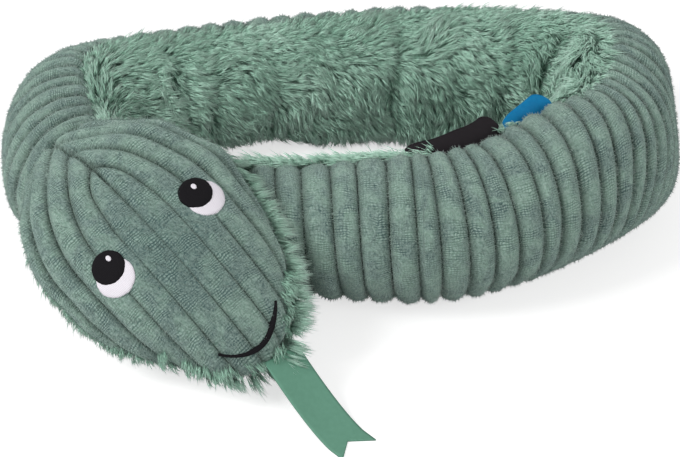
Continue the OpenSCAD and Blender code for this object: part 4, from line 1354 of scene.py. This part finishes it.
# The tongue.
# A flat woven ribbon with a notch cut in its end. It is sewn in under the nose,
# runs down over the plush and lies on the table at its tips.
tongue_length, tongue_width, tongue_side, notch = 41.1, 15.3, 6.4, 6.0
tongue_heading = math.atan2(to_nose[1], to_nose[0]) - math.radians(5.2)
ribbon_thick = 0.7
nose_tip = head_centre + (head_front + 0.3) * to_nose + tongue_side * to_far


def tongue_place(t, side):
    """A point of the ribbon at share t of its length and side from -1 to 1. It goes straight on from the nose and
    its height falls as the power 1.5 of what is left, with a slight curl across and one slow wave."""
    ahead, aside = t * tongue_length, side * tongue_width / 2
    down = np.minimum(1, t / 0.85)
    x = nose_tip[0] + ahead * math.cos(tongue_heading) - aside * math.sin(tongue_heading)
    y = nose_tip[1] + ahead * math.sin(tongue_heading) + aside * math.cos(tongue_heading)
    z = nose_tip[2] * (1 - down) ** 1.5 + ribbon_thick + 0.35 * side ** 2 * np.sin(np.pi * down)
    return np.stack([x, y, z], -1)


def woven_material(name, dark, light, roughness, ridge):
    """Plain woven tape: fine ribs across it from the weft, and a few slubs."""
    material, tree = new_material(name)
    place = cloth_place(tree)
    parts = put(tree, "SeparateXYZ", _0=place).outputs
    weft, warp = (maths(tree, "SINE", maths(tree, "MULTIPLY", parts[axis], 2 * math.pi / pitch))
                  for axis, pitch in ((1, ridge), (0, ridge * 0.7)))
    weave = rescaled(tree, maths(tree, "MULTIPLY", weft, warp), -1.0, 1.0)
    slub = put(tree, "TexNoise", Vector=place, Scale=0.5, Detail=3.0).outputs["Fac"]
    share = maths(tree, "MULTIPLY_ADD", slub, 0.6, maths(tree, "MULTIPLY", weave, 0.45), use_clamp=True)
    return finished(material, tree, Base_Color=mixed_colour(tree, share, dark, light), Roughness=roughness,
                    Normal=bumped(tree, weave, 0.4, 0.0002), Specular_IOR_Level=0.15)


def woven_band(name, points, depth, material, uv):
    """A band of tape from a grid of points: closed to a depth below its upper face."""
    up = facing(unit(np.cross(np.gradient(points, axis=0), np.gradient(points, axis=1))), np.array([0, 0, 1]))
    points, triangles, uv = thickened(points.reshape(-1, 3), grid_triangles(*points.shape[:2]), up.reshape(-1, 3),
                                      depth, uv.reshape(-1, 2))
    return fill_mesh(name, points, triangles, material, uv)


t, side = np.meshgrid(np.linspace(0, 1, 61), np.linspace(-1, 1, 17), indexing="ij")
t = t * (1 - notch / tongue_length * (1 - np.abs(side)))
points = tongue_place(t, side)
ribbon_length = np.linalg.norm(np.diff(points[:, 0], axis=0), axis=1).sum()
uv = np.stack([side * tongue_width / 2 + 20, t * ribbon_length + 10], -1) / 100
ribbon = woven_material("tongue_ribbon", rgb(84, 128, 108), rgb(104, 150, 130), 0.6, 0.5)
tongue = woven_band("tongue_woven_ribbon", points, ribbon_thick - 0.1, ribbon, uv)
blend_between(tongue, "head", "tongue", tongue_place(0.0, 0), tongue_place(0.15, 0))
stand_for(tongue, "tongue_ribbon", "tongue_ribbon")


# The two labels in the top seam.
# Short bands of woven tape, one black and one blue, caught in the seam between
# the ribbed cloth and the plush. They are left bare.
label_thick = 0.5


def label_piece(name, material, low, high, width, rise, widest):
    """A band that stands out of the seam: a grid from its root in the seam to its free edge, tilted over the plush
    by rise degrees, with a slow wave along its edge. It lies askew in the seam, so what shows of it grows as the
    power 0.5 up to its widest place and then ends in a rounded corner."""
    s, out = np.meshgrid(np.linspace(low, high, 70), np.linspace(-1.5, 1, 9), indexing="ij")
    t = (s - low) / (high - low)
    corner = (1 - np.clip((t - widest) / (1 - widest), 0, 1) ** 2.2) ** 0.5
    ends = 0.03 + 0.97 * np.where(t < widest, (t / widest) ** 0.5, corner)
    reach = np.where(out < 0, out * 2.0, out * width * ends)
    heading, seam = np.radians(along(s, heading_at)), along(s, seam_at)
    root = body_point(s, seam, along(s, radius_at) + 1.0 + bulge(s, seam))
    wave = 0.25 * np.sin((s - low) * 0.3 + 0.6) * np.clip(out, 0, 1)
    flatness, steepness = math.cos(math.radians(rise)), math.sin(math.radians(rise))
    over = np.stack([-np.sin(heading) * flatness, np.cos(heading) * flatness, 0 * s + steepness], -1)
    points = root + reach[..., None] * over + wave[..., None] * np.array([0, 0, 1.0])
    points[..., 2] += np.where(out < 0, out * 0.9, 0)
    return woven_band(name, points, label_thick, material, np.stack([reach + 20, s - low + 10], -1) / 100)


# Each label has its name, two colours and roughness, then low, high, width, rise and widest.
for name, dark, light, roughness, *shape in (
        ("black", rgb(12, 9, 12), rgb(30, 25, 29), 0.7, 66.0, 115.0, 6.9, 30, 0.82),
        ("blue", rgb(0, 92, 142), rgb(10, 128, 178), 0.5, 118.0, 147.0, 4.9, 26, 0.78)):
    tape = woven_material(name + "_label", dark, light, roughness, 0.6)
    label = label_piece(name + "_woven_label", tape, *shape)
    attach(label, name + "_tag")
    stand_for(label, name + "_label", name + "_label")
